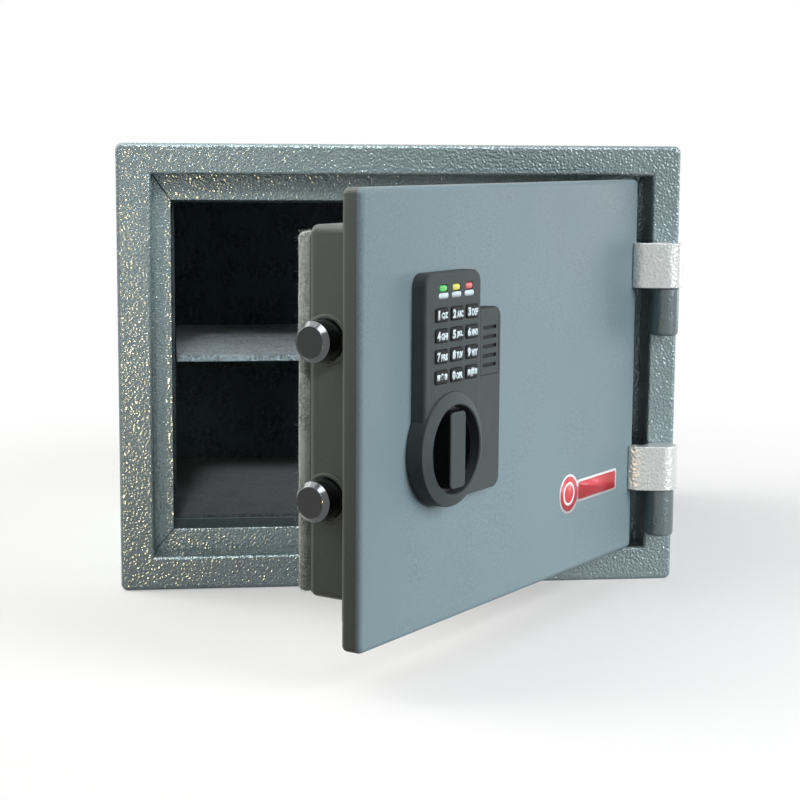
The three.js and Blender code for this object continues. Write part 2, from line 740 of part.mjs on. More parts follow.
// Fixed bolts that keep the hinge side shut
function fixedBolt() {
  const neck = -BOX_SHEET - GAP;
  return turned([
    [0, neck - FIXED_BOLT_FLANGE],
    [FIXED_BOLT_RADIUS + FIXED_BOLT_FLANGE, neck - FIXED_BOLT_FLANGE],
    [FIXED_BOLT_RADIUS + FIXED_BOLT_FLANGE, neck],
    [FIXED_BOLT_RADIUS, neck],
    [FIXED_BOLT_RADIUS, FIXED_BOLT_REACH - FIXED_BOLT_CHAMFER],
    [FIXED_BOLT_RADIUS - FIXED_BOLT_CHAMFER, FIXED_BOLT_REACH],
    [0, FIXED_BOLT_REACH],
  ], "x", 28);
}

for (const [name, z] of [["upper", BOLT_UPPER], ["lower", BOLT_LOWER]]) {
  const mesh = add(door, `fixed_bolt_${name}`, fixedBolt(), finish.steel());
  mesh.position.set(innerBox.x1, boltAxis, z);
}

// Plate inside the door's box that the sliding bolts run in
function boltGuide() {
  const past = 5;
  const x0 = innerBox.x0 + BOX_SHEET + GAP;
  const x1 = x0 + GUIDE_PLATE;
  const margin = BOLT_RADIUS + GUIDE_MARGIN;
  const leafBack = boxBack - BOX_SHEET - GAP;
  const leaf = block(x0, x1, plateBack + GAP, leafBack, BOLT_LOWER - margin, BOLT_UPPER + margin);
  const hole = (z) => at(rod(BOLT_RADIUS + SLIDE_FIT, -past, GUIDE_PLATE + past, "x"), x0, boltAxis, z);
  return leaf.subtract(hole(BOLT_UPPER)).subtract(hole(BOLT_LOWER));
}

const plungerY = (webFront + webBack) / 2;
const plungerTop = carriage.z0 - PLUNGER_REST;
const plungerBottom = plungerTop - PLUNGER_LENGTH;
const solenoidBottom = solenoidTop - SOLENOID_LENGTH;

function solenoidBody() {
  const past = 1;
  const half = SOLENOID_WIDTH / 2;
  const left = plungerX - half;
  const right = plungerX + half;
  const coil = block(left, right, plungerY - SOLENOID_DEPTH / 2, plungerY + SOLENOID_DEPTH / 2,
    solenoidBottom, solenoidTop);
  const foot = block(left, right, plateBack + GAP, plungerY, solenoidBottom, solenoidBottom + SOLENOID_FOOT);
  const bore = rod(PLUNGER_RADIUS + SLIDE_FIT, solenoidBottom + SOLENOID_BASE, solenoidTop + past, "z", 20);
  return coil.add(foot).subtract(at(bore, plungerX, plungerY, 0));
}

// A helix of round wire between the plunger and the bottom of its bore
function plungerSpring() {
  const start = solenoidBottom + SOLENOID_BASE + GAP + SPRING_WIRE;
  const rise = plungerBottom - GAP - SPRING_WIRE - start;
  class Helix extends THREE.Curve {
    getPoint(t, target = new THREE.Vector3()) {
      const angle = t * SPRING_TURNS * 2 * Math.PI;
      return target.set(SPRING_RADIUS * Math.cos(angle), SPRING_RADIUS * Math.sin(angle), start + t * rise);
    }
  }
  const section = new THREE.Shape();
  section.absarc(0, 0, SPRING_WIRE, 0, 2 * Math.PI);
  return solid(new THREE.ExtrudeGeometry(section, {
    steps: SPRING_TURNS * 8,
    curveSegments: 3,
    extrudePath: new Helix(),
  }));
}

add(door, "bolt_guide", boltGuide(), finish.steel());
add(door, "solenoid_body", solenoidBody(), finish.steel());
add(door, "plunger_spring", at(plungerSpring(), plungerX, plungerY, 0), finish.steel());

// Lock body
const keyRows = [["1", "2", "3"], ["4", "5", "6"], ["7", "8", "9"], ["star", "0", "hash"]];
const keys = keyRows.flatMap((row, r) => row.map((label, c) => ({
  label,
  x: lock.keyMiddle + (c - 1) * KEY_PITCH_X,
  z: KEY_TOP_ROW - r * KEY_PITCH_Z,
})));
const lamps = [["green", 0x5acd64], ["yellow", 0xe1dc5a], ["red", 0xd7575a]]
  .map(([label, colour], i) => ({ label, colour, x: lock.ledMiddle + (i - 1) * LED_PITCH }));

function around(x, z, wide, tall, by = 0) {
  return grow({ x0: x - wide / 2, x1: x + wide / 2, z0: z - tall / 2, z1: z + tall / 2 }, by);
}

function keyShape(key, by = 0) {
  return outline(around(key.x, key.z, KEY_WIDTH, KEY_TALL, by), KEY_CORNER);
}

function ledShape(lamp, by = 0) {
  return outline(around(lamp.x, LED_Z, LED_WIDTH, LED_TALL, by), LED_TALL / 2 + by);
}

// A wall round the knob whose top slopes up to a crest at the knob's edge
function knobRing() {
  const well = KNOB_RADIUS + 2 * GAP;
  return at(turned([
    [well, GAP],
    [RING_RADIUS, GAP],
    [RING_RADIUS, RING_HEIGHT - RING_EDGE],
    [RING_RADIUS - RING_EDGE * ROUND_MIDDLE, RING_HEIGHT - RING_EDGE * ROUND_MIDDLE],
    [RING_RADIUS - RING_EDGE, RING_HEIGHT],
    [well + RING_LIP, RING_CREST],
    [well, RING_CREST - RING_LIP],
    [well, GAP],
  ], "-y", 48), knobX, doorFace, KNOB_Z);
}

// The low block beside the column, whose upper part is the battery cover
function sideBlock(back) {
  const rect = { x0: knobX, x1: lock.sideRight, z0: SIDE_BOTTOM, z1: SIDE_TOP };
  return slab(outline(rect, SIDE_CORNER), doorFace - SIDE_HEIGHT, back, { edge: SIDE_EDGE });
}

const columnRect = { x0: lock.columnLeft, x1: lock.columnRight, z0: KNOB_Z, z1: COLUMN_TOP };

// The space in the column above the knob's ring, drawn in by a margin, from the depth y0 to the depth y1
function boardSpace(margin, y0, y1) {
  const wall = LOCK_WALL + margin;
  const within = grow(columnRect, -wall);
  return plate(within, y0, y1, COLUMN_CORNER - wall)
    .intersect(plate({ ...within, z0: KNOB_Z + RING_RADIUS + wall }, y0, y1));
}

function lockHousing() {
  const past = 5;
  const base = doorFace - GAP;
  const upright = slab(outline(columnRect, COLUMN_CORNER), doorFace - COLUMN_HEIGHT, base + past, {
    edge: COLUMN_EDGE,
  });
  const behind = block(lock.columnLeft - past, lock.sideRight + past, base, base + 2 * past, 0, HEIGHT);
  const well = at(rod(KNOB_RADIUS + 2 * GAP, -past, RING_CREST + past, "-y", 48), knobX, doorFace, KNOB_Z);
  const boardRoom = boardSpace(0, doorFace - COLUMN_HEIGHT + LOCK_WALL, base + past);
  const trayRoom = plate(grow(tray, GAP), trayFront - GAP, base + past);
  const coverFront = doorFace - SIDE_HEIGHT;
  const coverBack = coverFront + COVER_SHEET + GAP;
  const coverRect = {
    x0: lock.coverLeft - GAP,
    x1: lock.coverRight + GAP,
    z0: COVER_BOTTOM - GAP,
    z1: SIDE_TOP + past,
  };
  const coverRoom = plate(coverRect, coverFront - past, coverBack);
  const grooveRect = { ...coverRect, x0: coverRect.x0 - COVER_TONGUE, x1: coverRect.x1 + COVER_TONGUE };
  const groove = plate(grooveRect, coverBack - COVER_TONGUE_SHEET - 2 * GAP, coverBack);
  const above = doorFace - COLUMN_HEIGHT - past;
  const windows = [
    ...keys.map((key) => slab(keyShape(key, SLIDE_FIT), above, doorFace, { curve: 2 })),
    ...lamps.map((lamp) => slab(ledShape(lamp, SLIDE_FIT), above, doorFace)),
  ];
  const cuts = [behind, well, boardRoom, trayRoom, coverRoom, groove, ...windows];
  const whole = upright.add(sideBlock(base + past)).add(knobRing());
  return cuts.reduce((left, cut) => left.subtract(cut), whole);
}

const boardBack = doorFace - BOARD_HEIGHT;
const boardFront = boardBack - BOARD_SHEET;
add(door, "lock_housing", lockHousing(), finish.lockPlastic());
add(door, "circuit_board", boardSpace(GAP, boardFront, boardBack), finish.board());
for (const lamp of lamps) {
  const lens = slab(ledShape(lamp), doorFace - COLUMN_HEIGHT - LED_PROUD, boardFront - GAP);
  add(door, `led_${lamp.label}`, lens, finish.lamp(lamp.colour));
}

// A key: a cap that stands through its window, on a wider foot that keeps it in
const keyFoot = COLUMN_HEIGHT - LOCK_WALL - GAP;

function keyCap() {
  const footBack = -keyFoot + KEY_FLANGE_SHEET;
  const cap = slab(keyShape({ x: 0, z: 0 }), -COLUMN_HEIGHT - KEY_PROUD, footBack, {
    edge: KEY_PROUD / 2,
    steps: 1,
    curve: 2,
  });
  return cap.add(plate(around(0, 0, KEY_WIDTH, KEY_TALL, KEY_FLANGE), -keyFoot, footBack));
}

// A rubber mat with a dome under each key, which gives way when the key is pressed
function keypadMat() {
  const sheetBack = boardFront - GAP;
  const domeTop = doorFace - keyFoot + KEY_FLANGE_SHEET + GAP;
  const left = lock.keyMiddle - KEY_PITCH_X - KEY_WIDTH / 2;
  const right = lock.keyMiddle + KEY_PITCH_X + KEY_WIDTH / 2;
  const bottom = KEY_TOP_ROW - (keyRows.length - 1) * KEY_PITCH_Z - KEY_TALL / 2;
  const sheet = grow({ x0: left, x1: right, z0: bottom, z1: KEY_TOP_ROW + KEY_TALL / 2 }, MAT_MARGIN);
  const dome = (key) => at(turned([
    [0, -sheetBack],
    [DOME_RADIUS, -sheetBack],
    [DOME_RADIUS / 2, -domeTop],
    [0, -domeTop],
  ], "-y", 12), key.x, 0, key.z);
  return keys.map(dome).reduce((mat, one) => mat.add(one), plate(sheet, sheetBack - MAT_SHEET, sheetBack));
}

add(door, "keypad_mat", keypadMat(), finish.rubber());
for (const key of keys) {
  const mesh = add(door, `key_${key.label}`, keyCap(), finish.keyPlastic());
  mesh.position.set(key.x, doorFace, key.z);
}

// Battery tray, cells and sliding cover
function batteryTray() {
  const past = 1;
  return plate(tray, trayFront, trayBack).subtract(plate(trayInner, trayFront - past, trayBack - TRAY_SHEET));
}

function batteryCells() {
  const middle = (trayInner.x0 + trayInner.x1) / 2;
  const y = trayBack - TRAY_SHEET - GAP - CELL_RADIUS;
  const cell = (x) => at(rod(CELL_RADIUS, 0, CELL_LENGTH, "z", 20), x, y, trayInner.z0 + GAP);
  const wrap = block(middle - CELL_RADIUS, middle + CELL_RADIUS, y - CELL_RADIUS / 2, y + CELL_RADIUS / 2,
    trayInner.z0 + GAP, trayInner.z0 + GAP + CELL_LENGTH);
  return cell(middle - CELL_RADIUS).add(cell(middle + CELL_RADIUS)).add(wrap);
}

function batteryCover() {
  const past = 1;
  const leaf = { x0: lock.coverLeft, x1: lock.coverRight, z0: COVER_BOTTOM, z1: SIDE_TOP };
  const coverFront = doorFace - SIDE_HEIGHT;
  const coverBack = coverFront + COVER_SHEET;
  const tongues = { ...leaf, x0: leaf.x0 - COVER_TONGUE, x1: leaf.x1 + COVER_TONGUE };
  const middle = (leaf.x0 + leaf.x1) / 2;
  const grooves = Array.from({ length: GROOVE_COUNT }, (_, i) => plate(
    around(middle, GROOVE_TOP - i * GROOVE_PITCH, GROOVE_WIDTH, GROOVE_TALL),
    coverFront - past, coverFront + GROOVE_DEPTH));
  const leafAndTongues = plate(leaf, coverFront, coverBack)
    .add(plate(tongues, coverBack - COVER_TONGUE_SHEET, coverBack));
  const rounded = leafAndTongues.intersect(sideBlock(doorFace));
  return grooves.reduce((left, cut) => left.subtract(cut), rounded);
}

add(door, "battery_tray", batteryTray(), finish.keyPlastic());
add(door, "battery_cells", batteryCells(), finish.cell());
add(door, "battery_cover", batteryCover(), finish.lockPlastic());

// Knob, spindle and cam, which turn together
const knob = new THREE.Group();
const camFront = webFront - CARRIAGE_SHEET - CAM_SHEET;

function knobDial() {
  const wall = KNOB_RADIUS - KNOB_RIM_WALL;
  const floor = 2 * GAP + KNOB_FLOOR;
  const dish = turned([
    [0, 2 * GAP],
    [KNOB_RADIUS, 2 * GAP],
    [KNOB_RADIUS, KNOB_RIM_HEIGHT],
    [wall, KNOB_RIM_HEIGHT],
    [wall, floor],
    [0, floor],
  ], "-y", 48);
  const bar = slab(outline(around(0, 0, GRIP_WIDTH, GRIP_LENGTH), GRIP_CORNER), -GRIP_HEIGHT, -GAP * 2, {
    edge: GRIP_EDGE,
    curve: 3,
  });
  const foot = slab(outline(around(0, 0, GRIP_WIDTH, 2 * KNOB_RADIUS)), -GRIP_FOOT_HEIGHT, -GAP * 2)
    .intersect(rod(wall + KNOB_RIM_WALL / 2, floor / 2, KNOB_RIM_HEIGHT, "-y", 48));
  return dish.add(foot).add(bar);
}

function driveCam() {
  const start = THREE.MathUtils.degToRad(CAM_TURN / 2);
  const disc = rod(CAM_RADIUS, -camFront - CAM_SHEET, -camFront, "-y");
  const bore = rod(SPINDLE_RADIUS + GAP, -camFront - 2 * CAM_SHEET, -camFront + CAM_SHEET, "-y");
  const pinBack = webBack + CARRIAGE_SHEET / 2;
  const crank = at(rod(CAM_PIN_RADIUS, -pinBack, -camFront - CAM_SHEET / 2, "-y", 20),
    -CAM_THROW_RADIUS * Math.sin(start), 0, CAM_THROW_RADIUS * Math.cos(start));
  return disc.subtract(bore).add(crank);
}

add(knob, "knob_dial", at(knobDial(), knobX, doorFace, KNOB_Z), finish.lockPlastic());
add(knob, "knob_spindle",
  at(rod(SPINDLE_RADIUS, -camFront - CAM_SHEET, -doorFace + GAP, "-y"), knobX, 0, KNOB_Z), finish.steel());
add(knob, "drive_cam", at(driveCam(), knobX, 0, KNOB_Z), finish.steel());
door.add(knob);

// Bolts on their carriage, which slides towards the hinge when the knob is turned
const boltwork = new THREE.Group();

function boltCarriage() {
  const past = 5;
  const web = plate(carriage, webFront, webBack);
  const { x0, z0, z1 } = carriage;
  const flange = block(x0, x0 + CARRIAGE_SHEET, webFront, boltAxis + CARRIAGE_FLANGE, z0, z1);
  const start = THREE.MathUtils.degToRad(CAM_TURN / 2);
  const pinX = knobX - CAM_THROW_RADIUS * Math.sin(start);
  const pinLow = KNOB_Z + CAM_THROW_RADIUS * Math.cos(start);
  const pinHigh = KNOB_Z + CAM_THROW_RADIUS;
  const yoke = grow({ x0: pinX, x1: pinX, z0: pinLow, z1: pinHigh }, CAM_PIN_RADIUS + YOKE_FIT);
  const notch = (x) => plate({
    x0: x - PLUNGER_RADIUS - NOTCH_FIT,
    x1: x + PLUNGER_RADIUS + NOTCH_FIT,
    z0: z0 - past,
    z1: z0 + NOTCH_DEPTH,
  }, webFront - past, webBack + past);
  const spigotHole = rod(BOLT_SPIGOT + GAP, -past, CARRIAGE_SHEET + past, "x", 24);
  const spigot = (z) => at(spigotHole, x0, boltAxis, z);
  const cuts = [
    plate(yoke, webFront - past, webBack + past),
    notch(plungerX),
    notch(plungerX - BOLT_THROW),
    spigot(BOLT_UPPER),
    spigot(BOLT_LOWER),
  ];
  return cuts.reduce((left, cut) => left.subtract(cut), web.add(flange));
}

function bolt() {
  const shank = boltFlange - (innerBox.x0 - BOLT_THROW) - GAP;
  const tail = shank + GAP + CARRIAGE_SHEET + BOLT_SPIGOT_HEAD;
  return turned([
    [0, 0],
    [BOLT_RADIUS - BOLT_CHAMFER, 0],
    [BOLT_RADIUS, BOLT_CHAMFER],
    [BOLT_RADIUS, shank],
    [BOLT_SPIGOT, shank],
    [BOLT_SPIGOT, tail],
    [0, tail],
  ], "x", 36);
}

add(boltwork, "bolt_carriage", boltCarriage(), finish.steel());
for (const [name, z] of [["upper", BOLT_UPPER], ["lower", BOLT_LOWER]]) {
  const mesh = add(boltwork, `bolt_${name}`, bolt(), finish.chrome());
  mesh.position.set(innerBox.x0 - BOLT_THROW, boltAxis, z);
}
door.add(boltwork);

// Plunger, drawn in as it is while the knob can be turned
const plunger = rod(PLUNGER_RADIUS, plungerBottom, plungerTop, "z", 20);
add(door, "solenoid_plunger", at(plunger, plungerX, plungerY, 0), finish.steel());

const safe = new THREE.Group();
safe.name = "office_safe";
safe.add(cabinet, shelf, doorSwing);

export default safe;
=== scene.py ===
"""Office safe with its door ajar: paint, lining, hinges, lock details, label, floor, lamps and camera.

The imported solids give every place. Each operator refines a group of them or adds a group of small pieces.
"""

import json
import math
import random

import bmesh
import bpy
from bpy.props import FloatProperty, FloatVectorProperty, IntProperty, PointerProperty
from mathutils import Matrix, Vector, noise

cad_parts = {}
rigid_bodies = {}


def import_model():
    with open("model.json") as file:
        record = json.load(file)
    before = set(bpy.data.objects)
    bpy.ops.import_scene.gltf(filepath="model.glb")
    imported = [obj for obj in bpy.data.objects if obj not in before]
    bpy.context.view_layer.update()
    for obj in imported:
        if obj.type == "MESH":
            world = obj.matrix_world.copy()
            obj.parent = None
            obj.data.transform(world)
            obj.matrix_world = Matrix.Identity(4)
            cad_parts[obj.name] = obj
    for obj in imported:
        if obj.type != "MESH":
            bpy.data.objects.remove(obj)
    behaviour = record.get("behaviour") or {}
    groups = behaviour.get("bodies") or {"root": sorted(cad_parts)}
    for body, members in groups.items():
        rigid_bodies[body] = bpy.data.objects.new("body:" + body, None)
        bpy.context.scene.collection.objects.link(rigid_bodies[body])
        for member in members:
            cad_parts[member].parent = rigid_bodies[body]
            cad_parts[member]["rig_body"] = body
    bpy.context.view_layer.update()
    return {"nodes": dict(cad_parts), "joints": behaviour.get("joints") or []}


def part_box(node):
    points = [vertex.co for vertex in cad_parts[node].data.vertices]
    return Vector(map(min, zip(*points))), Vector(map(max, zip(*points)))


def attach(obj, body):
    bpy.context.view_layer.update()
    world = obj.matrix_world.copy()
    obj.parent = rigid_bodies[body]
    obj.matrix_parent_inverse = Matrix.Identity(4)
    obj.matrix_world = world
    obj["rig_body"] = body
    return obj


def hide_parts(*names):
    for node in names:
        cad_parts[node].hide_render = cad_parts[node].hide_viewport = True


bl_info = {
    "name": "Office safe",
    "version": (1, 0, 0),
    "blender": (4, 5, 0),
    "location": "View3D > Sidebar > Safe",
    "description": "Finishes and details for a small office safe with a keypad lock",
    "category": "Object",
}

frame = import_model()
NODES = frame["nodes"]
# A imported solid's material carries the name of its slot
SLOTS = {name: solid.material_slots[0].name for name, solid in NODES.items()}

MM = 0.001
# Corners closer than this are one corner
SAME_CORNER = 0.001 * MM
# Radius of small edges that hardly show
THIN_EDGE = 0.3 * MM
# Radius of the edges of thin felt
FELT_EDGE = 0.9 * MM
# Radius of the edges of the door's seal
SEAL_EDGE = 0.6 * MM
# How far print reaches into what carries it, so that it leaves no gap
PRINT_SINK = 0.02 * MM

# The door stands open by the travel that its hinge has back to the closed end
SWING = next(joint for joint in frame["joints"] if joint["name"] == "door_swing")
HINGE = Vector(SWING["pos_m"])
OPEN_ANGLE = -math.radians(SWING["range_deg"][0])
DOOR_OPEN = Matrix.Translation(HINGE) @ Matrix.Rotation(OPEN_ANGLE, 4, "Z") @ Matrix.Translation(-HINGE)
# A drawing on the ground, x across and y up, stood up on the closed door so that it faces the front
STAND_UP = Matrix.Rotation(math.pi / 2, 4, "X")

# The letters beside each digit, and the two signs
KEY_LEGENDS = {
    "1": "QZ", "2": "ABC", "3": "DEF", "4": "GHI", "5": "JKL",
    "6": "MNO", "7": "PRS", "8": "TUV", "9": "WXY", "0": "OPR",
}
KEY_SIGNS = {"star": "*", "hash": "#"}


# Settings

def length(name, description, default_mm):
    """A length, with its default in millimetres."""
    return FloatProperty(name=name, description=description, default=default_mm * MM, min=0, unit="LENGTH")


def colour(name, description, default):
    """A colour in linear light."""
    return FloatVectorProperty(
        name=name, description=description, default=default, subtype="COLOR", size=3, min=0, max=1)


def factor(name, description, default):
    """A share from 0 to 1."""
    return FloatProperty(
        name=name, description=description, default=default, min=0, max=1, subtype="FACTOR")


def power(name, description, default):
    """A lamp's power in watts."""
    return FloatProperty(name=name, description=description, default=default, min=0, unit="POWER")


class PaintSettings(bpy.types.PropertyGroup):
    """Paint on the cabinet, the door and the hinges"""

    cabinet: colour("Cabinet colour", "Pebbled paint of the cabinet", (0.245, 0.32, 0.335))
    # Painted highlight: the straps carry the cabinet's paint, lightened to stand in for the bright sheen
    # that light from the right puts on them
    strap: colour("Strap colour", "Lighter paint of the hinge straps", (0.66, 0.69, 0.68))
    door: colour("Door colour", "Fine-grained paint of the door", (0.185, 0.255, 0.283))
    # Painted shade: the box's paint is set darker to stand in for the shade on its sides, which face away
    # from the light
    box: colour("Inner box colour", "Paint of the box behind the door's plate", (0.125, 0.14, 0.125))
    pebble: length("Pebble size", "Distance between pebbles of the cabinet's paint", 1.7)
    pebble_depth: length("Pebble depth", "Depth of the relief between pebbles", 0.62)
    grain: length("Door grain", "Distance between grains of the door's paint", 1.3)
    edge: length("Painted edge", "Radius of the painted sheet's folds", 1.2)
    outer_edge: length("Outer edge", "Radius of the cabinet's outer edges", 3)


class FeltSettings(bpy.types.PropertyGroup):
    """Felt of the lining, the shelf and the door's back"""

    lining: colour("Lining colour", "Dark felt of the cavity", (0.095, 0.13, 0.145))
    shelf: colour("Shelf colour", "Grey felt on the shelf", (0.57, 0.68, 0.75))
    pad: colour("Pad colour", "Light felt on the back of the door", (0.66, 0.7, 0.66))
    crown: length("Pad crown", "How far the pad's middle stands above its rim", 0.8)
    wave: length("Felt unevenness", "Height of the waves in thick felt", 0.45)
    pad_corner: length("Pad edge", "Radius of the pad's edges", 4.2)
    fibre_length: length("Fibre length", "Length of the fibres that stand up from the felt", 2.2)
    fibre_radius: length("Fibre radius", "Radius of a fibre where it leaves the felt", 0.11)
    shelf_fibres: IntProperty(
        name="Shelf fibres", description="Fibres that stand up from the shelf", default=11000, min=0)
    pad_fibres: IntProperty(
        name="Pad fibres", description="Fibres that stand up from the door's pad", default=9000, min=0)


class LockSettings(bpy.types.PropertyGroup):
    """Plastic of the lock and the print on its keys"""

    housing: colour("Housing colour", "Plastic of the lock's body", (0.068, 0.082, 0.085))
    key: colour("Key colour", "Plastic of the keys", (0.022, 0.024, 0.026))
    # Painted shade: the dish is near black to stand in for the shade in the knob's recess
    dish: colour("Dish colour", "Plastic of the knob's dish", (0.006, 0.007, 0.008))
    print: colour("Print colour", "Print on the keys and under the lamps", (0.72, 0.86, 0.9))
    green: colour("Green lamp", "Colour of the first lamp's lens", (0.07, 0.62, 0.1))
    yellow: colour("Yellow lamp", "Colour of the second lamp's lens", (0.75, 0.7, 0.07))
    red: colour("Red lamp", "Colour of the third lamp's lens", (0.7, 0.07, 0.07))
    edge: length("Moulded edge", "Radius of the housing's edges", 0.45)
    key_edge: length("Key edge", "Radius of a key's edges", 0.25)
    knob_edge: length("Knob edge", "Radius of the knob's edges", 0.8)
    print_height: length("Print thickness", "How far the print stands above a key", 0.06)
    digit_width: length("Digit width", "Width of a key's digit", 3.8)
    digit_height: length("Digit height", "Height of a key's digit", 5.6)
    letters_width: length("Letters width", "Width of the letters beside a digit", 7.6)
    letters_height: length("Letters height", "Height of the letters beside a digit", 4.4)
    sign_width: length("Sign width", "Width of a sign on the bottom row", 4.6)
    sign_height: length("Sign height", "Height of a sign on the bottom row", 5.2)
    bar_width: length("Bar width", "Width of the bars beside a sign", 3.2)
    bar_height: length("Bar height", "Height of the bars beside a sign", 3.8)
    lens_dome: length("Lens dome", "Radius of a lamp lens's rounding", 1.5)
    lens_rise: length("Lens rise", "How far a lamp's lens stands out of the housing", 0.4)
    lamp_bar_width: length("Lamp bar width", "Width of the bar under a lamp", 11)
    lamp_bar_height: length("Lamp bar height", "Height of the bar under a lamp", 3.4)
    lamp_bar_drop: length("Lamp bar drop", "From a lamp's middle down to its bar's", 4.4)


class SteelSettings(bpy.types.PropertyGroup):
    """Bare and plated steel"""

    # Painted reflection: the chrome's colour is set very dark to stand in for a dark room that the plated
    # sides reflect
    chrome: colour("Chrome colour", "Plated sides of the bolts", (0.1, 0.105, 0.11))
    # Painted reflection: the flat end's colour is set dark to stand in for the dark room it reflects
    bolt_end: colour("Bolt end colour", "Blackened flat end of a bolt", (0.032, 0.036, 0.036))
    steel: colour("Steel colour", "Bare and galvanised steel", (0.42, 0.43, 0.43))
    edge: length("Steel edge", "Radius of small steel edges", 0.3)
    collar: length("Collar width", "Width of the collar round each bolt hole", 3)
    collar_height: length("Collar height", "How far the collar stands off the door's box", 0.7)


class LabelSettings(bpy.types.PropertyGroup):
    """Label low on the door: a disc with a bar beside it"""

    disc_x: length("Disc place", "Disc's middle from the door's free edge", 260.1)
    disc_z: length("Disc height", "Disc's middle above the floor", 83.3)
    disc_radius: length("Disc radius", "Radius of the disc with its border", 14)
    bar_end: length("Bar reach", "Bar's far end from the disc's middle", 74)
    bar_height: length("Bar height", "Height of the bar with its border", 16)
    border: length("Border", "Width of the pale border", 1.7)
    sheet: length("Label thickness", "Thickness of the label", 0.12)
    red: colour("Label colour", "Colour inside the border", (0.64, 0.055, 0.07))
    white: colour("Border colour", "Colour of the border", (0.83, 0.84, 0.84))


class StageSettings(bpy.types.PropertyGroup):
    """Floor, lamps and camera"""

    floor: colour("Floor colour", "Pale floor", (0.95, 0.95, 0.95))
    floor_radius: length("Floor radius", "Radius of the floor", 9000)
    fade_start: length("Fade start", "Where the floor begins to fade into the room", 200)
    fade_end: length("Fade end", "Where the floor is as white as the room", 900)
    near_white: factor("White near the safe", "Share of the room's white in the floor near the safe", 0.3)
    bounce: factor("Floor bounce", "Share of the light that the floor throws back", 0.08)
    fill: factor("Room light", "Even light from all round", 0.02)
    key_power: power("Key lamp", "Power of the lamp on the right in front", 48)
    top_power: power("Top lamp", "Power of the lamp above", 24)
    side_power: power("Side lamp", "Power of the lamp far right", 9)
    rim_power: power("Rim lamp", "Power of the lamp behind on the left", 32)
    cavity_power: power("Cavity lamp", "Power of the lamp that shines into the cavity", 80)
    low_power: power("Low lamp", "Power of the warm lamp low in front", 12)
    glint_power: power("Glint lamp", "Power of the lamp high in front", 28)
    foot_power: power("Foot lamp", "Power of the lamp that shines on the door's lower part", 40)
    lens: FloatProperty(
        name="Lens", description="Focal length in millimetres", default=83.048, unit="CAMERA")


# Nodes

def blank_material(name):
    """A new material, its tree and its shader."""
    material = bpy.data.materials.new(name)
    material.use_nodes = True
    return material, material.node_tree, material.node_tree.nodes["Principled BSDF"]


def node(tree, kind, inputs=(), **settings):
    """A node with its settings, and its inputs set to values or joined to other nodes' outputs."""
    made = tree.nodes.new(kind)
    for key, value in settings.items():
        setattr(made, key, value)
    for key, value in dict(inputs).items():
        if isinstance(value, bpy.types.NodeSocket):
            tree.links.new(value, made.inputs[key])
        else:
            made.inputs[key].default_value = value
    return made


def object_point(tree, stretch=(1, 1, 1)):
    """The point on the piece in metres, stretched along its axes."""
    own = node(tree, "ShaderNodeTexCoord").outputs["Object"]
    return node(tree, "ShaderNodeMapping", {"Vector": own, "Scale": stretch}).outputs["Vector"]


def speckle(tree, point, size, detail=2.0, roughness=0.5):
    """Noise whose blotches are about that size in metres."""
    return node(tree, "ShaderNodeTexNoise", {
        "Vector": point, "Scale": 1 / size, "Detail": detail, "Roughness": roughness}).outputs["Fac"]


def scaled(tree, value, low, high, to_low=0.0, to_high=1.0, curve="LINEAR"):
    """A value carried from one range to another."""
    return node(tree, "ShaderNodeMapRange", {
        "Value": value, "From Min": low, "From Max": high, "To Min": to_low, "To Max": to_high,
    }, interpolation_type=curve).outputs["Result"]


def blended(tree, share, first, second):
    """A colour between two, by share. Each is a node's output or three numbers."""
    first, second = (
        value if isinstance(value, bpy.types.NodeSocket) else (*value, 1) for value in (first, second))
    # Inputs 6 and 7 and output 2 are the node's colours
    mixer = node(tree, "ShaderNodeMix", {"Factor": share, 6: first, 7: second}, data_type="RGBA")
    return mixer.outputs[2]


def relief(tree, height, depth):
    """A bumped normal from a height of 0 to 1 and its depth in metres."""
    bump = node(tree, "ShaderNodeBump", {"Height": height, "Distance": depth, "Strength": 1.0})
    return bump.outputs["Normal"]


def finish_up(tree, shader, tint, rough, normal, **sockets):
    """Joins what varies to the shader and sets what doesn't on its own sockets."""
    for key, value in (("Base Color", tint), ("Roughness", rough), ("Normal", normal)):
        if isinstance(value, bpy.types.NodeSocket):
            tree.links.new(value, shader.inputs[key])
        else:
            shader.inputs[key].default_value = value
    for key, value in sockets.items():
        shader.inputs[key.replace("_", " ")].default_value = value


# Finishes

def hammertone(name, base, size, depth, rough=0.22, metallic=0.25, gloss=0.5):
    """Thick paint that dried in small pebbles, with a finer grain in its colour."""
    material, tree, shader = blank_material(name)
    point = object_point(tree)
    pebbles = speckle(tree, point, size, 0.0)
    grain = speckle(tree, point, 0.4 * size, 2.0, 0.6)
    base = Vector(base)
    tint = blended(tree, scaled(tree, grain, 0.35, 0.65), tuple(base * 0.86), tuple(base * 1.16))
    worn = scaled(tree, speckle(tree, point, 15 * size), 0.3, 0.7, rough - 0.02, rough + 0.03)
    finish_up(tree, shader, tint, worn, relief(tree, pebbles, depth), Metallic=metallic,
              Specular_IOR_Level=gloss)
    return material


def door_enamel(paint):
    """Smooth paint with a fine grain and faint clouding."""
    material, tree, shader = blank_material("door_paint")
    point = object_point(tree)
    grain = speckle(tree, point, paint.grain, 2.0, 0.6)
    cloud = speckle(tree, point, 40 * paint.grain, 2.0)
    base = Vector(paint.door)
    tint = blended(tree, scaled(tree, grain, 0.36, 0.64), tuple(base * 0.88), tuple(base * 1.14))
    shade = blended(tree, scaled(tree, cloud, 0.35, 0.65), tint, tuple(base * 1.05))
    worn = scaled(tree, cloud, 0.3, 0.7, 0.4, 0.5)
    finish_up(tree, shader, shade, worn, relief(tree, grain, 0.09 * MM), Specular_IOR_Level=0.2)
    return material


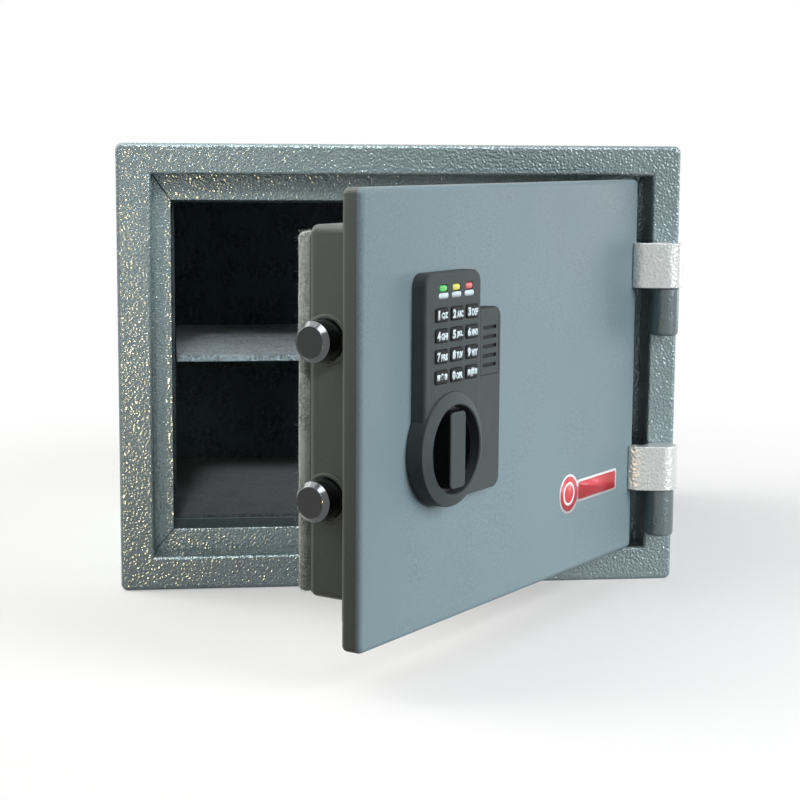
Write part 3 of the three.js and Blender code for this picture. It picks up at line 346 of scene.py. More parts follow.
def felt(name, base, size, contrast, depth):
    """Matted fibres: short light and dark strands over slow blotches."""
    material, tree, shader = blank_material(name)
    point = object_point(tree)
    strands = [
        speckle(tree, object_point(tree, stretch), size, 3.0, 0.7)
        for stretch in ((1, 0.25, 0.5), (0.3, 1, 1), (0.6, 0.7, 0.25))
    ]
    crossed = node(tree, "ShaderNodeMath", {0: strands[0], 1: strands[1]}, operation="MAXIMUM").outputs[0]
    matted = node(tree, "ShaderNodeMath", {0: crossed, 1: strands[2]}, operation="MAXIMUM").outputs[0]
    base = Vector(base)
    dark, light = tuple(base * (1 - contrast)), tuple(base * (1 + contrast))
    tint = blended(tree, scaled(tree, matted, 0.48, 0.74), dark, light)
    blotch = blended(tree, scaled(tree, speckle(tree, point, 14 * size), 0.35, 0.7), tint, tuple(base))
    finish_up(tree, shader, blotch, 0.95, relief(tree, matted, depth),
              Sheen_Weight=0.25, Sheen_Roughness=0.6, Specular_IOR_Level=0.15)
    return material


def moulded(name, base, rough, texture, gloss=0.06):
    """Plastic from a finely textured mould."""
    material, tree, shader = blank_material(name)
    point = object_point(tree)
    fine = speckle(tree, point, 0.5 * MM, 2.0, 0.6)
    cloud = speckle(tree, point, 18 * MM)
    base = Vector(base)
    tint = blended(tree, scaled(tree, cloud, 0.3, 0.7), tuple(base * 0.93), tuple(base * 1.07))
    worn = scaled(tree, cloud, 0.3, 0.7, rough - 0.04, rough + 0.05)
    finish_up(tree, shader, tint, worn, relief(tree, fine, texture), Specular_IOR_Level=gloss)
    return material


def lens(name, base):
    """Glossy tinted plastic over a lamp."""
    material, tree, shader = blank_material(name)
    core = speckle(tree, object_point(tree), 2 * MM, 1.0)
    base = Vector(base)
    tint = blended(tree, scaled(tree, core, 0.3, 0.7), tuple(base * 0.85), tuple(base))
    finish_up(tree, shader, tint, 0.22, relief(tree, core, 0.03 * MM), Coat_Weight=0.4)
    return material


def metal(name, base, rough, scratch_stretch, scratch=0.02 * MM, metallic=1.0):
    """Metal with fine scratches drawn out along one axis."""
    material, tree, shader = blank_material(name)
    lines = speckle(tree, object_point(tree, scratch_stretch), 0.6 * MM, 3.0, 0.7)
    cloud = speckle(tree, object_point(tree), 9 * MM)
    base = Vector(base)
    tint = blended(tree, scaled(tree, cloud, 0.3, 0.7), tuple(base * 0.9), tuple(base))
    worn = scaled(tree, lines, 0.3, 0.7, rough * 0.8, rough * 1.25)
    finish_up(tree, shader, tint, worn, relief(tree, lines, scratch), Metallic=metallic)
    return material


def plain_finish(name, base, rough, size, contrast, depth, gloss=0.3):
    """A matt finish with specks of its own colour."""
    material, tree, shader = blank_material(name)
    specks = speckle(tree, object_point(tree), size, 4.0, 0.6)
    base = Vector(base)
    tint = blended(tree, scaled(tree, specks, 0.35, 0.65),
                   tuple(base * (1 - contrast)), tuple(base * (1 + contrast)))
    finish_up(tree, shader, tint, rough, relief(tree, specks, depth), Specular_IOR_Level=gloss)
    return material


class Finishes:
    """Every finish, made once and handed to the pieces by name."""

    made = {}

    @classmethod
    def get(cls, name):
        """A finish by its name."""
        if not cls.made:
            cls.make_all(bpy.context.scene)
        return cls.made[name]

    @classmethod
    def make_all(cls, scene):
        """Makes every finish from the scene's settings."""
        paint, cloth, lock, steel, label = (
            scene.safe_paint, scene.safe_felt, scene.safe_lock, scene.safe_steel, scene.safe_label)
        pebble, depth = paint.pebble, paint.pebble_depth
        cls.made = {
            "hammertone_paint": hammertone("cabinet_paint", paint.cabinet, pebble, depth),
            # Painted highlight: the cabinet's paint made lighter on the hinge straps
            "strap_paint": hammertone(
                "strap_paint", paint.strap, 1.2 * pebble, 0.7 * depth, rough=0.3, metallic=0.45),
            # Painted shade: the cabinet's paint darkened on the hinge barrels, whose sides turn away from
            # the light
            "barrel_paint": hammertone(
                "barrel_paint", 0.55 * Vector(paint.cabinet), pebble, 0.5 * depth, rough=0.3),
            # Painted shade: the box's paint darkened for sides that face away from the light
            "box_paint": hammertone(
                "box_paint", paint.box, 0.6 * pebble, 0.15 * depth, rough=0.35, metallic=0.0, gloss=0.2),
            "hidden_paint": plain_finish(
                "hidden_paint", (0.03, 0.033, 0.033), rough=0.7, size=2 * MM, contrast=0.2,
                depth=0.02 * MM),
            "door_paint": door_enamel(paint),
            "bare_steel": metal("bare_steel", steel.steel, rough=0.38, scratch_stretch=(1, 1, 0.08)),
            # Painted reflection: dark chrome that stands in for reflecting a dark room
            "chrome": metal(
                "chrome", steel.chrome, rough=0.13, scratch_stretch=(0.06, 0.06, 1), scratch=0.006 * MM),
            # Painted reflection: the bolts' flat ends darkened as if they reflected a dark room
            "bolt_end": metal(
                "bolt_end", steel.bolt_end, rough=0.32, scratch_stretch=(1, 1, 1), metallic=0.5),
            "mineral_fill": plain_finish(
                "mineral_fill", (0.62, 0.59, 0.53), rough=0.95, size=3 * MM, contrast=0.18, depth=0.3 * MM),
            "dark_felt": felt("dark_felt", cloth.lining, size=1.6 * MM, contrast=0.7, depth=0.25 * MM),
            "grey_felt": felt("grey_felt", cloth.shelf, size=1.7 * MM, contrast=0.75, depth=0.45 * MM),
            "pale_felt": felt("pale_felt", cloth.pad, size=1.5 * MM, contrast=0.62, depth=0.4 * MM),
            "seal_rubber": plain_finish(
                "seal_rubber", (0.016, 0.016, 0.017), rough=0.8, size=1.5 * MM, contrast=0.3,
                depth=0.05 * MM),
            "lock_plastic": moulded("lock_plastic", lock.housing, rough=0.5, texture=0.02 * MM),
            "key_plastic": moulded("key_plastic", lock.key, rough=0.45, texture=0.015 * MM),
            # Painted shade: near-black plastic for the knob's recessed dish
            "dish_plastic": moulded("dish_plastic", lock.dish, rough=0.3, texture=0.01 * MM, gloss=0.45),
            "key_print": plain_finish(
                "key_print", lock.print, rough=0.5, size=0.4 * MM, contrast=0.06, depth=0.01 * MM),
            "board_laminate": plain_finish(
                "board_laminate", (0.014, 0.1, 0.04), rough=0.45, size=2.5 * MM, contrast=0.5,
                depth=0.04 * MM),
            "cell_wrap": metal(
                "cell_wrap", (0.04, 0.045, 0.05), rough=0.35, scratch_stretch=(1, 1, 0.1),
                scratch=0.01 * MM, metallic=0.4),
            "lamp_green": lens("lamp_green", lock.green),
            "lamp_yellow": lens("lamp_yellow", lock.yellow),
            "lamp_red": lens("lamp_red", lock.red),
            "label_red": plain_finish(
                "label_red", label.red, rough=0.35, size=1.2 * MM, contrast=0.05,
                depth=0.01 * MM, gloss=0.5),
            "label_white": plain_finish(
                "label_white", label.white, rough=0.35, size=1.2 * MM, contrast=0.02,
                depth=0.01 * MM, gloss=0.5),
        }


# Pieces

def body_of_node(name):
    """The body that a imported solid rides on."""
    return NODES[name]["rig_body"]


def closed_box(name):
    """Lowest and highest corner of one of the door's solids with the door closed."""
    shut = DOOR_OPEN.inverted()
    points = [shut @ vertex.co for vertex in NODES[name].data.vertices]
    return Vector(map(min, zip(*points))), Vector(map(max, zip(*points)))


def as_piece(shape, name, body, finish, replaced=()):
    """A finished bmesh made an object that rides on a body and takes a finish."""
    mesh = bpy.data.meshes.new(name)
    shape.to_mesh(mesh)
    shape.free()
    for polygon in mesh.polygons:
        polygon.use_smooth = True
    piece = bpy.data.objects.new(name, mesh)
    bpy.context.scene.collection.objects.link(piece)
    mesh.materials.append(Finishes.get(finish))
    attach(piece, body)
    if replaced:
        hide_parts(*replaced)
    return piece


def soften(piece, radius, segments=3, angle=35):
    """Rounds the sharp edges and keeps the flats flat."""
    bevel = piece.modifiers.new("edges", "BEVEL")
    bevel.width = radius
    bevel.segments = segments
    bevel.limit_method = "ANGLE"
    bevel.angle_limit = math.radians(angle)
    bevel.use_clamp_overlap = True
    flats = piece.modifiers.new("flats", "WEIGHTED_NORMAL")
    flats.keep_sharp = True
    return piece


def merged_copy(name):
    """A solid's mesh with its corners joined and its flats in one face each."""
    shape = bmesh.new()
    shape.from_mesh(NODES[name].data)
    bmesh.ops.remove_doubles(shape, verts=shape.verts, dist=SAME_CORNER)
    bmesh.ops.dissolve_limit(
        shape, angle_limit=math.radians(0.5), verts=shape.verts, edges=shape.edges)
    return shape


def refined(name, radius, finish=None, segments=3, angle=35):
    """A solid with rounded edges and smooth curves, in place of its plain node."""
    slot = SLOTS[name]
    piece = as_piece(
        merged_copy(name), f"{name}_finished", body_of_node(name), finish or slot, (name,))
    return soften(piece, radius, segments, angle)


def finish_behind(piece, name, depth, finish):
    """Gives another finish to the faces of a door solid that lie deeper than that behind its front."""
    piece.data.materials.append(Finishes.get(finish))
    front = closed_box(name)[0].y
    shut = DOOR_OPEN.inverted()
    for polygon in piece.data.polygons:
        if (shut @ polygon.center).y > front + depth:
            polygon.material_index = 1


def moved(shape, *matrices):
    """Carries a bmesh through matrices, the first one first."""
    for matrix in matrices:
        bmesh.ops.transform(shape, matrix=matrix, verts=shape.verts)
    return shape


def tidied(shape):
    """Joins a bmesh's doubled corners and turns its faces outwards."""
    bmesh.ops.remove_doubles(shape, verts=shape.verts, dist=SAME_CORNER)
    bmesh.ops.recalc_face_normals(shape, faces=shape.faces)
    return shape


def soft_box(low, high, radius, spacing=6 * MM, arc=4):
    """A closed box with rounded edges and a grid of corners over all its sides."""
    shape = bmesh.new()
    bmesh.ops.create_cube(shape, size=1)
    bmesh.ops.scale(shape, vec=high - low, verts=shape.verts)
    bmesh.ops.translate(shape, vec=(low + high) / 2, verts=shape.verts)
    for axis, (start, end) in enumerate(zip(low, high)):
        inner = end - start - 2 * radius
        count = max(2, round(inner / spacing))
        rounding = [radius * step / arc for step in range(1, arc)]
        cuts = [start + radius + inner * step / count for step in range(count + 1)]
        cuts += [start + step for step in rounding] + [end - step for step in rounding]
        across = Vector(int(place == axis) for place in range(3))
        for cut in cuts:
            everything = shape.verts[:] + shape.edges[:] + shape.faces[:]
            bmesh.ops.bisect_plane(shape, geom=everything, plane_co=cut * across, plane_no=across)
    # Each corner is drawn onto the rounding round the box that lies one radius further in
    for vertex in shape.verts:
        core = Vector(min(max(value, start + radius), end - radius)
                      for value, start, end in zip(vertex.co, low, high))
        vertex.co = core + radius * (vertex.co - core).normalized()
    return tidied(shape)


def spun(profile, steps=48):
    """A profile of (radius, height) points turned round the z axis."""
    shape = bmesh.new()
    points = [shape.verts.new((radius, 0, height)) for radius, height in profile]
    rim = [shape.edges.new(pair) for pair in zip(points, points[1:])]
    bmesh.ops.spin(shape, geom=points + rim, cent=(0, 0, 0), axis=(0, 0, 1), angle=2 * math.pi,
                   steps=steps, use_merge=True, use_duplicate=False)
    return tidied(shape)


def raised(shape, height):
    """A flat drawing given a thickness upwards."""
    grown = bmesh.ops.extrude_face_region(shape, geom=shape.faces[:] + shape.edges[:] + shape.verts[:])
    tops = [part for part in grown["geom"] if isinstance(part, bmesh.types.BMVert)]
    bmesh.ops.translate(shape, vec=(0, 0, height), verts=tops)
    return tidied(shape)


def rounded_plate(width, tall, corner, height, steps=6):
    """A plate with rounded corners, lying flat with its middle at the origin."""
    shape = bmesh.new()
    bmesh.ops.create_grid(shape, x_segments=1, y_segments=1, size=0.5)
    bmesh.ops.scale(shape, vec=(width, tall, 1), verts=shape.verts)
    bmesh.ops.bevel(shape, geom=shape.verts[:], offset=min(corner, 0.499 * min(width, tall)),
                    segments=steps, profile=0.5, affect="VERTICES", material=-1)
    return raised(shape, height)


def lettering(text, width, tall, height):
    """Bold characters as a closed shape that fills a box, lying flat with their middle at the origin."""
    curve = bpy.data.curves.new(text, "FONT")
    curve.body = text
    # In the text's own unit, until it is fitted to its box. The offset makes the strokes bold
    curve.size = 1
    curve.offset = 0.065
    curve.extrude = 0.05
    curve.resolution_u = 3
    carrier = bpy.data.objects.new(text, curve)
    bpy.context.scene.collection.objects.link(carrier)
    graph = bpy.context.evaluated_depsgraph_get()
    mesh = bpy.data.meshes.new_from_object(carrier.evaluated_get(graph))
    shape = bmesh.new()
    shape.from_mesh(mesh)
    bpy.data.objects.remove(carrier)
    bpy.data.curves.remove(curve)
    bpy.data.meshes.remove(mesh)
    bmesh.ops.remove_doubles(shape, verts=shape.verts, dist=0.0005)
    low = Vector(map(min, zip(*(vertex.co for vertex in shape.verts))))
    high = Vector(map(max, zip(*(vertex.co for vertex in shape.verts))))
    fit = Matrix.Diagonal((width / (high.x - low.x), tall / (high.y - low.y), height / (high.z - low.z), 1))
    centre = Vector(((low.x + high.x) / 2, (low.y + high.y) / 2, low.z))
    return moved(shape, Matrix.Translation(-centre), fit)


def joined(shapes):
    """Several bmeshes as one."""
    whole = bmesh.new()
    for shape in shapes:
        mesh = bpy.data.meshes.new("part")
        shape.to_mesh(mesh)
        shape.free()
        whole.from_mesh(mesh)
        bpy.data.meshes.remove(mesh)
    return whole


def at(x, y, z):
    """A move by that much along the axes."""
    return Matrix.Translation((x, y, z))


def fibres(count, spot, size, spread, seed, bunch=120):
    """Short tapered fibres. spot gives a random point on the felt and the way out of it.

    They are made in bunches, because adding to a mesh slows down as it grows.
    """
    chance = random.Random(seed)
    bunches = []
    for start in range(0, count, bunch):
        shape = bmesh.new()
        for _ in range(min(bunch, count - start)):
            point, outward = spot(chance)
            lean = Vector((chance.gauss(0, spread), chance.gauss(0, spread), chance.gauss(0, spread)))
            along = (outward + lean).normalized()
            reach = size.fibre_length * chance.uniform(0.4, 1)
            turn = along.to_track_quat("Z", "Y").to_matrix().to_4x4()
            bmesh.ops.create_cone(
                shape, cap_ends=True, segments=3, radius1=size.fibre_radius * chance.uniform(0.7, 1.3),
                radius2=0, depth=reach, matrix=Matrix.Translation(point + along * reach * 0.4) @ turn)
        bunches.append(shape)
    return joined(bunches)


# Operators

class CabinetSurfaces(bpy.types.Operator):
    """Paints the cabinet and rounds its folds"""

    bl_idname = "safe.cabinet"
    bl_label = "Cabinet"

    def execute(self, context):
        edge = context.scene.safe_paint.edge
        refined("outer_shell", context.scene.safe_paint.outer_edge)
        refined("back_panel", 0.5 * edge, segments=2)
        for side in ("bottom", "right", "top", "left"):
            refined(f"jamb_{side}", edge)
        return {"FINISHED"}


class HingeSurfaces(bpy.types.Operator):
    """Rounds the hinge barrels and straps"""

    bl_idname = "safe.hinges"
    bl_label = "Hinges"

    def execute(self, context):
        edge = context.scene.safe_paint.edge
        for place in ("lower", "upper"):
            # The barrels take the darkened paint, a painted shade
            refined(f"hinge_barrel_{place}", 0.5 * edge, "barrel_paint")
            # The straps take the lightened paint, a painted highlight
            refined(f"hinge_strap_{place}", 0.5 * edge, "strap_paint")
            refined(f"hinge_pin_{place}", context.scene.safe_steel.edge)
        return {"FINISHED"}


class Lining(bpy.types.Operator):
    """Lines the cavity with dark felt and covers the shelf with grey felt"""

    bl_idname = "safe.lining"
    bl_label = "Lining and shelf"

    def execute(self, context):
        cloth = context.scene.safe_felt
        low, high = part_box("felt_walls")
        wide, deep, tall = high - low
        flats = {
            "felt_walls": (wide + 2 * deep, tall),
            "felt_floor": (wide, deep),
            "felt_ceiling": (wide, deep),
        }
        for name, flat in flats.items():
            piece = refined(name, FELT_EDGE)
        for side in ("left", "right"):
            refined(f"shelf_rail_{side}", THIN_EDGE, "hidden_paint", segments=2)
        shelf = refined("shelf_felt", FELT_EDGE)
        low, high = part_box("shelf_felt")
        wide, deep, lip = high - low

        # The share of the fibres on the shelf's lip, and how much the others crowd towards the front
        on_lip = 0.2
        crowding_in_front = 1.6

        def spot(chance):
            x = chance.uniform(low.x, high.x)
            if chance.random() < on_lip:
                return Vector((x, low.y, chance.uniform(low.z, high.z))), Vector((0, -1, 0.3))
            depth = deep * chance.random() ** crowding_in_front
            return Vector((x, low.y + depth, high.z)), Vector((0, 0, 1))

        as_piece(fibres(cloth.shelf_fibres, spot, cloth, spread=0.9, seed=3), "shelf_fibres", "cabinet",
                 "grey_felt")
        return {"FINISHED"}


class DoorPlate(bpy.types.Operator):
    """Paints the door's front pan and the box behind it, with painted shade on the box and the pan's sides,
    and puts a collar round each bolt
    """

    bl_idname = "safe.door"
    bl_label = "Door"

    def execute(self, context):
        scene = context.scene
        pan = refined("door_pan", 0.8 * scene.safe_paint.edge, segments=2)
        # Painted shade: the pan's sides, which face away from the light, take the box's darkened paint
        finish_behind(pan, "door_pan", depth=3 * MM, finish="box_paint")
        refined("door_inner_box", 2.5 * scene.safe_paint.edge, "box_paint")
        refined("door_back_plate", THIN_EDGE, "box_paint", segments=2)
        refined("door_seal", SEAL_EDGE, segments=2)
        steel = scene.safe_steel
        side = closed_box("door_inner_box")[0].x
        clearance, sink, chamfer = 0.5 * MM, 0.4 * MM, 0.4 * MM
        for place in ("upper", "lower"):
            low, high = closed_box(f"bolt_{place}")
            bolt = (high.z - low.z) / 2
            inner, outer, foot, top = bolt + clearance, bolt + steel.collar, -sink, steel.collar_height
            ring = spun([
                (inner, foot),
                (outer, foot),
                (outer, 0.5 * top),
                (outer - 0.5 * top, top),
                (inner + chamfer, top),
                (inner, 0.6 * top),
                (inner, foot),
            ])
            face_left = Matrix.Rotation(-math.pi / 2, 4, "Y")
            moved(ring, face_left, at(side, (low.y + high.y) / 2, (low.z + high.z) / 2), DOOR_OPEN)
            as_piece(ring, f"bolt_collar_{place}", "door", "box_paint")
        return {"FINISHED"}


class DoorPad(bpy.types.Operator):
    """Puts a soft felt pad with loose fibres on the back of the door"""

    bl_idname = "safe.pad"
    bl_label = "Door pad"

    def execute(self, context):
        cloth = context.scene.safe_felt
        low, high = closed_box("door_back_felt")
        size, middle = high - low, (low + high) / 2
        pad = soft_box(low, high, cloth.pad_corner)
        pad.normal_update()
        # How often per metre each wave changes, how strong the fine one is, and how far both lie inwards
        slow_waves, fine_waves = 60, 230
        fine_share, inwards = 0.6, 0.5
        for vertex in pad.verts:
            u, v = ((vertex.co - middle)[axis] * 2 / size[axis] for axis in (0, 2))
            free = (vertex.co.y - low.y) / size.y
            slow, fine = noise.noise(vertex.co * slow_waves), noise.noise(vertex.co * fine_waves)
            vertex.co += free * cloth.wave * (slow + fine_share * fine - inwards) * vertex.normal
            vertex.co.y += free * cloth.crown * (1 - u ** 4) * (1 - v ** 4)
        moved(tidied(pad), DOOR_OPEN)
        piece = as_piece(pad, "door_pad", "door", "pale_felt", ("door_back_felt",))

        # The share of the fibres up to each side, in turn. What is left grows on the back
        to_bolt_side, to_top, to_bottom, to_hinge_side = 0.3, 0.45, 0.5, 0.6

        def spot(chance):
            side = chance.random()
            x, z = chance.uniform(low.x, high.x), chance.uniform(low.z, high.z)
            y = chance.uniform(low.y, high.y - 2 * MM)
            if side < to_bolt_side:
                return self.turned((low.x + 0.2 * MM, y, z), (-1, 0, 0))
            if side < to_top:
                return self.turned((x, y, high.z - 0.2 * MM), (0, 0, 1))
            if side < to_bottom:
                return self.turned((x, y, low.z + 0.2 * MM), (0, 0, -1))
            if side < to_hinge_side:
                return self.turned((high.x - 0.2 * MM, y, z), (1, 0, 0))
            return self.turned((x, high.y + 0.3 * MM, z), (0, 1, 0))

        as_piece(fibres(cloth.pad_fibres, spot, cloth, spread=0.8, seed=5), "door_pad_fibres", "door",
                 "pale_felt")
        return {"FINISHED"}

    @staticmethod
    def turned(point, outward):
        """A place on the closed door and its way out, carried to where the door stands."""
        return DOOR_OPEN @ Vector(point), DOOR_OPEN.to_3x3() @ Vector(outward)


class Bolts(bpy.types.Operator):
    """Polishes the sliding and fixed bolts and darkens the sliding bolts' flat ends as a painted reflection
    of a dark room
    """

    bl_idname = "safe.bolts"
    bl_label = "Bolts"

    def execute(self, context):
        steel = context.scene.safe_steel
        outward = DOOR_OPEN.to_3x3() @ Vector((-1, 0, 0))
        # The flat end is what lies this near the tip and looks this straight outwards
        near, straight = 0.05 * MM, 0.9
        for place in ("upper", "lower"):
            bolt = refined(f"bolt_{place}", steel.edge)
            # The flat ends take the darkened finish, a painted reflection
            bolt.data.materials.append(Finishes.get("bolt_end"))
            tip = min(polygon.center.dot(-outward) for polygon in bolt.data.polygons)
            for polygon in bolt.data.polygons:
                if polygon.center.dot(-outward) < tip + near and polygon.normal.dot(outward) > straight:
                    polygon.material_index = 1
            refined(f"fixed_bolt_{place}", steel.edge)
        return {"FINISHED"}


class LockBody(bpy.types.Operator):
    """Rounds the lock's housing and its sliding cover, whose grooves take the keys' darker plastic as
    painted shade
    """

    bl_idname = "safe.lock"
    bl_label = "Lock body"

    def execute(self, context):
        lock = context.scene.safe_lock
        refined("lock_housing", lock.edge, angle=30)
        cover = refined("battery_cover", THIN_EDGE, segments=2)
        # Painted shade: the grooves' recessed faces take the keys' darker plastic
        finish_behind(cover, "battery_cover", depth=0.3 * MM, finish="key_plastic")
        return {"FINISHED"}


class Knob(bpy.types.Operator):
    """Makes the knob's dish black as painted shade in its recess and leaves its grip in the housing's
    plastic
    """

    bl_idname = "safe.knob"
    bl_label = "Knob"

    def execute(self, context):
        knob = refined("knob_dial", context.scene.safe_lock.knob_edge)
        # Painted shade: faces deeper than the dish's rim turn black
        finish_behind(knob, "knob_dial", depth=1.2 * MM, finish="dish_plastic")
        return {"FINISHED"}


class Keys(bpy.types.Operator):
    """Rounds the keys and prints a digit with letters, or a sign between two bars, on each"""

    bl_idname = "safe.keys"
    bl_label = "Keys"

    def execute(self, context):
        lock = context.scene.safe_lock
        for label in [*KEY_LEGENDS, *KEY_SIGNS]:
            name = f"key_{label}"
            refined(name, lock.key_edge, segments=2)
            low, high = closed_box(name)
            middle = (low + high) / 2
            if label in KEY_SIGNS:
                parts = self.sign(KEY_SIGNS[label], lock)
            else:
                parts = self.digit(label, KEY_LEGENDS[label], lock)
            shape = moved(joined(parts), STAND_UP, at(middle.x, low.y + PRINT_SINK, middle.z), DOOR_OPEN)
            as_piece(shape, f"{name}_print", name, "key_print")
        return {"FINISHED"}

    @staticmethod
    def digit(label, letters, lock):
        """A tall digit with small letters after it, on one line. A one is slimmer than the others."""
        height = lock.print_height + PRINT_SINK
        space = 0.8 * MM
        total = lock.digit_width + space + lock.letters_width
        slim = 0.5 if label == "1" else 1
        digit = moved(lettering(label, slim * lock.digit_width, lock.digit_height, height),
                      at(-total / 2 + lock.digit_width / 2, 0, 0))
        drop = (lock.digit_height - lock.letters_height) / 2
        small = moved(lettering(letters, lock.letters_width, lock.letters_height, height),
                      at(total / 2 - lock.letters_width / 2, -drop, 0))
        return [digit, small]

    @staticmethod
    def sign(label, lock):
        """A sign between two short bars."""
        height = lock.print_height + PRINT_SINK
        space, corner = 0.3 * MM, 0.8 * MM
        offset = lock.sign_width / 2 + space + lock.bar_width / 2
        bars = [
            moved(rounded_plate(lock.bar_width, lock.bar_height, corner, height), at(side * offset, 0, 0))
            for side in (-1, 1)
        ]
        return [lettering(label, lock.sign_width, lock.sign_height, height), *bars]


class Lamps(bpy.types.Operator):
    """Domes the three lamp lenses and prints a short bar under each"""

    bl_idname = "safe.lamps"
    bl_label = "Lamps"

    def execute(self, context):
        lock = context.scene.safe_lock
        corner = 1.6 * MM
        for label in ("green", "yellow", "red"):
            name = f"led_{label}"
            low, high = closed_box(name)
            middle = (low + high) / 2
            refined(name, lock.lens_dome, segments=5)
            bar = rounded_plate(lock.lamp_bar_width, lock.lamp_bar_height, corner, lock.print_height)
            place = at(middle.x, low.y + lock.lens_rise, middle.z - lock.lamp_bar_drop)
            moved(bar, STAND_UP, place, DOOR_OPEN)
            as_piece(bar, f"{name}_bar", "door", "key_print")
        return {"FINISHED"}


class DoorLabel(bpy.types.Operator):
    """Sticks the label on the door: a disc with a ring in it and a bar, both in a pale border"""

    bl_idname = "safe.label"
    bl_label = "Label"

    def execute(self, context):
        label = context.scene.safe_label
        door = closed_box("door_pan")
        x = door[0].x + label.disc_x
        face = door[0].y
        border_thick, field_thick, ring_thick = label.sheet, 0.4 * label.sheet, 0.3 * label.sheet
        # Name, finish, how far inside the outline, how far off the door, thickness and corner
        sheets = (
            ("label_border", "label_white", 0.0, 0.0, border_thick, 2.4 * MM),
            ("label_field", "label_red", label.border, border_thick, field_thick, 1.6 * MM),
        )
        for name, finish, inset, lift, thick, corner in sheets:
            radius = label.disc_radius - inset
            disc = spun([(0, 0), (radius, 0), (radius, thick), (0, thick)], 64)
            # The border runs under the disc, and the colour leaves the disc's border clear
            start = label.disc_radius if inset else 0
            end = label.bar_end - inset
            bar = rounded_plate(end - start, label.bar_height - 2 * inset, corner, thick)
            moved(bar, at((start + end) / 2, 0, 0))
            shape = joined([disc, bar])
            moved(shape, STAND_UP, at(x, face - lift, label.disc_z), DOOR_OPEN)
            as_piece(shape, name, "door", finish)
        radius = label.disc_radius - label.border
        inner, outer = 0.52 * radius, 0.68 * radius
        ring = spun([(inner, 0), (outer, 0), (outer, ring_thick), (inner, ring_thick), (inner, 0)])
        moved(ring, STAND_UP, at(x, face - border_thick - field_thick, label.disc_z), DOOR_OPEN)
        as_piece(ring, "label_ring", "door", "label_white")
        return {"FINISHED"}


class InnerWorks(bpy.types.Operator):
    """Gives every solid that is still shown as it was packed its finish"""

    bl_idname = "safe.works"
    bl_label = "Inner works"

    def execute(self, context):
        for name, solid in NODES.items():
            if not solid.hide_render:
                solid.material_slots[0].material = Finishes.get(SLOTS[name])
        return {"FINISHED"}


# What the lamps that light the whole safe point at
MIDDLE = (0.02, -0.2, 0.15)
# Name, place, what it points at, size, tint, and the cone in degrees of those that light one part
LAMPS = (
    ("key", (1.8, -1.55, 1.25), MIDDLE, 1.5, (0.97, 0.985, 1), None),
    ("top", (-0.65, 0.15, 2.1), MIDDLE, 1.8, (1, 1, 1), None),
    ("side", (2.1, 0.8, 0.4), MIDDLE, 0.8, (1, 1, 1), None),
    ("rim", (-1.8, 0.35, 1.3), MIDDLE, 1.5, (1, 0.97, 0.9), None),
    ("cavity", (-0.3, -1.7, 1.1), (-0.09, -0.12, 0.14), 0.15, (1, 1, 1), 8.5),
    ("low", (-0.5, -1.0, 0.05), (-0.2, -0.19, 0.1), 0.03, (1, 0.7, 0.4), 44),
    ("glint", (0.0, -1.3, 1.7), MIDDLE, 1.0, (1, 1, 1), None),
    ("foot", (1.2, -1.2, 0.25), (0.07, -0.34, -0.08), 0.15, (1, 1, 1), 28),
)
# Lamps that show only as glints in paint and plating
GLINTS = ("low", "glint")
CAMERA_PLACE = (-0.168457, -1.514131, 0.325362)
# Tilt, roll and pan in degrees
CAMERA_TURN = (82.1053, -0.3801, -7.0841)


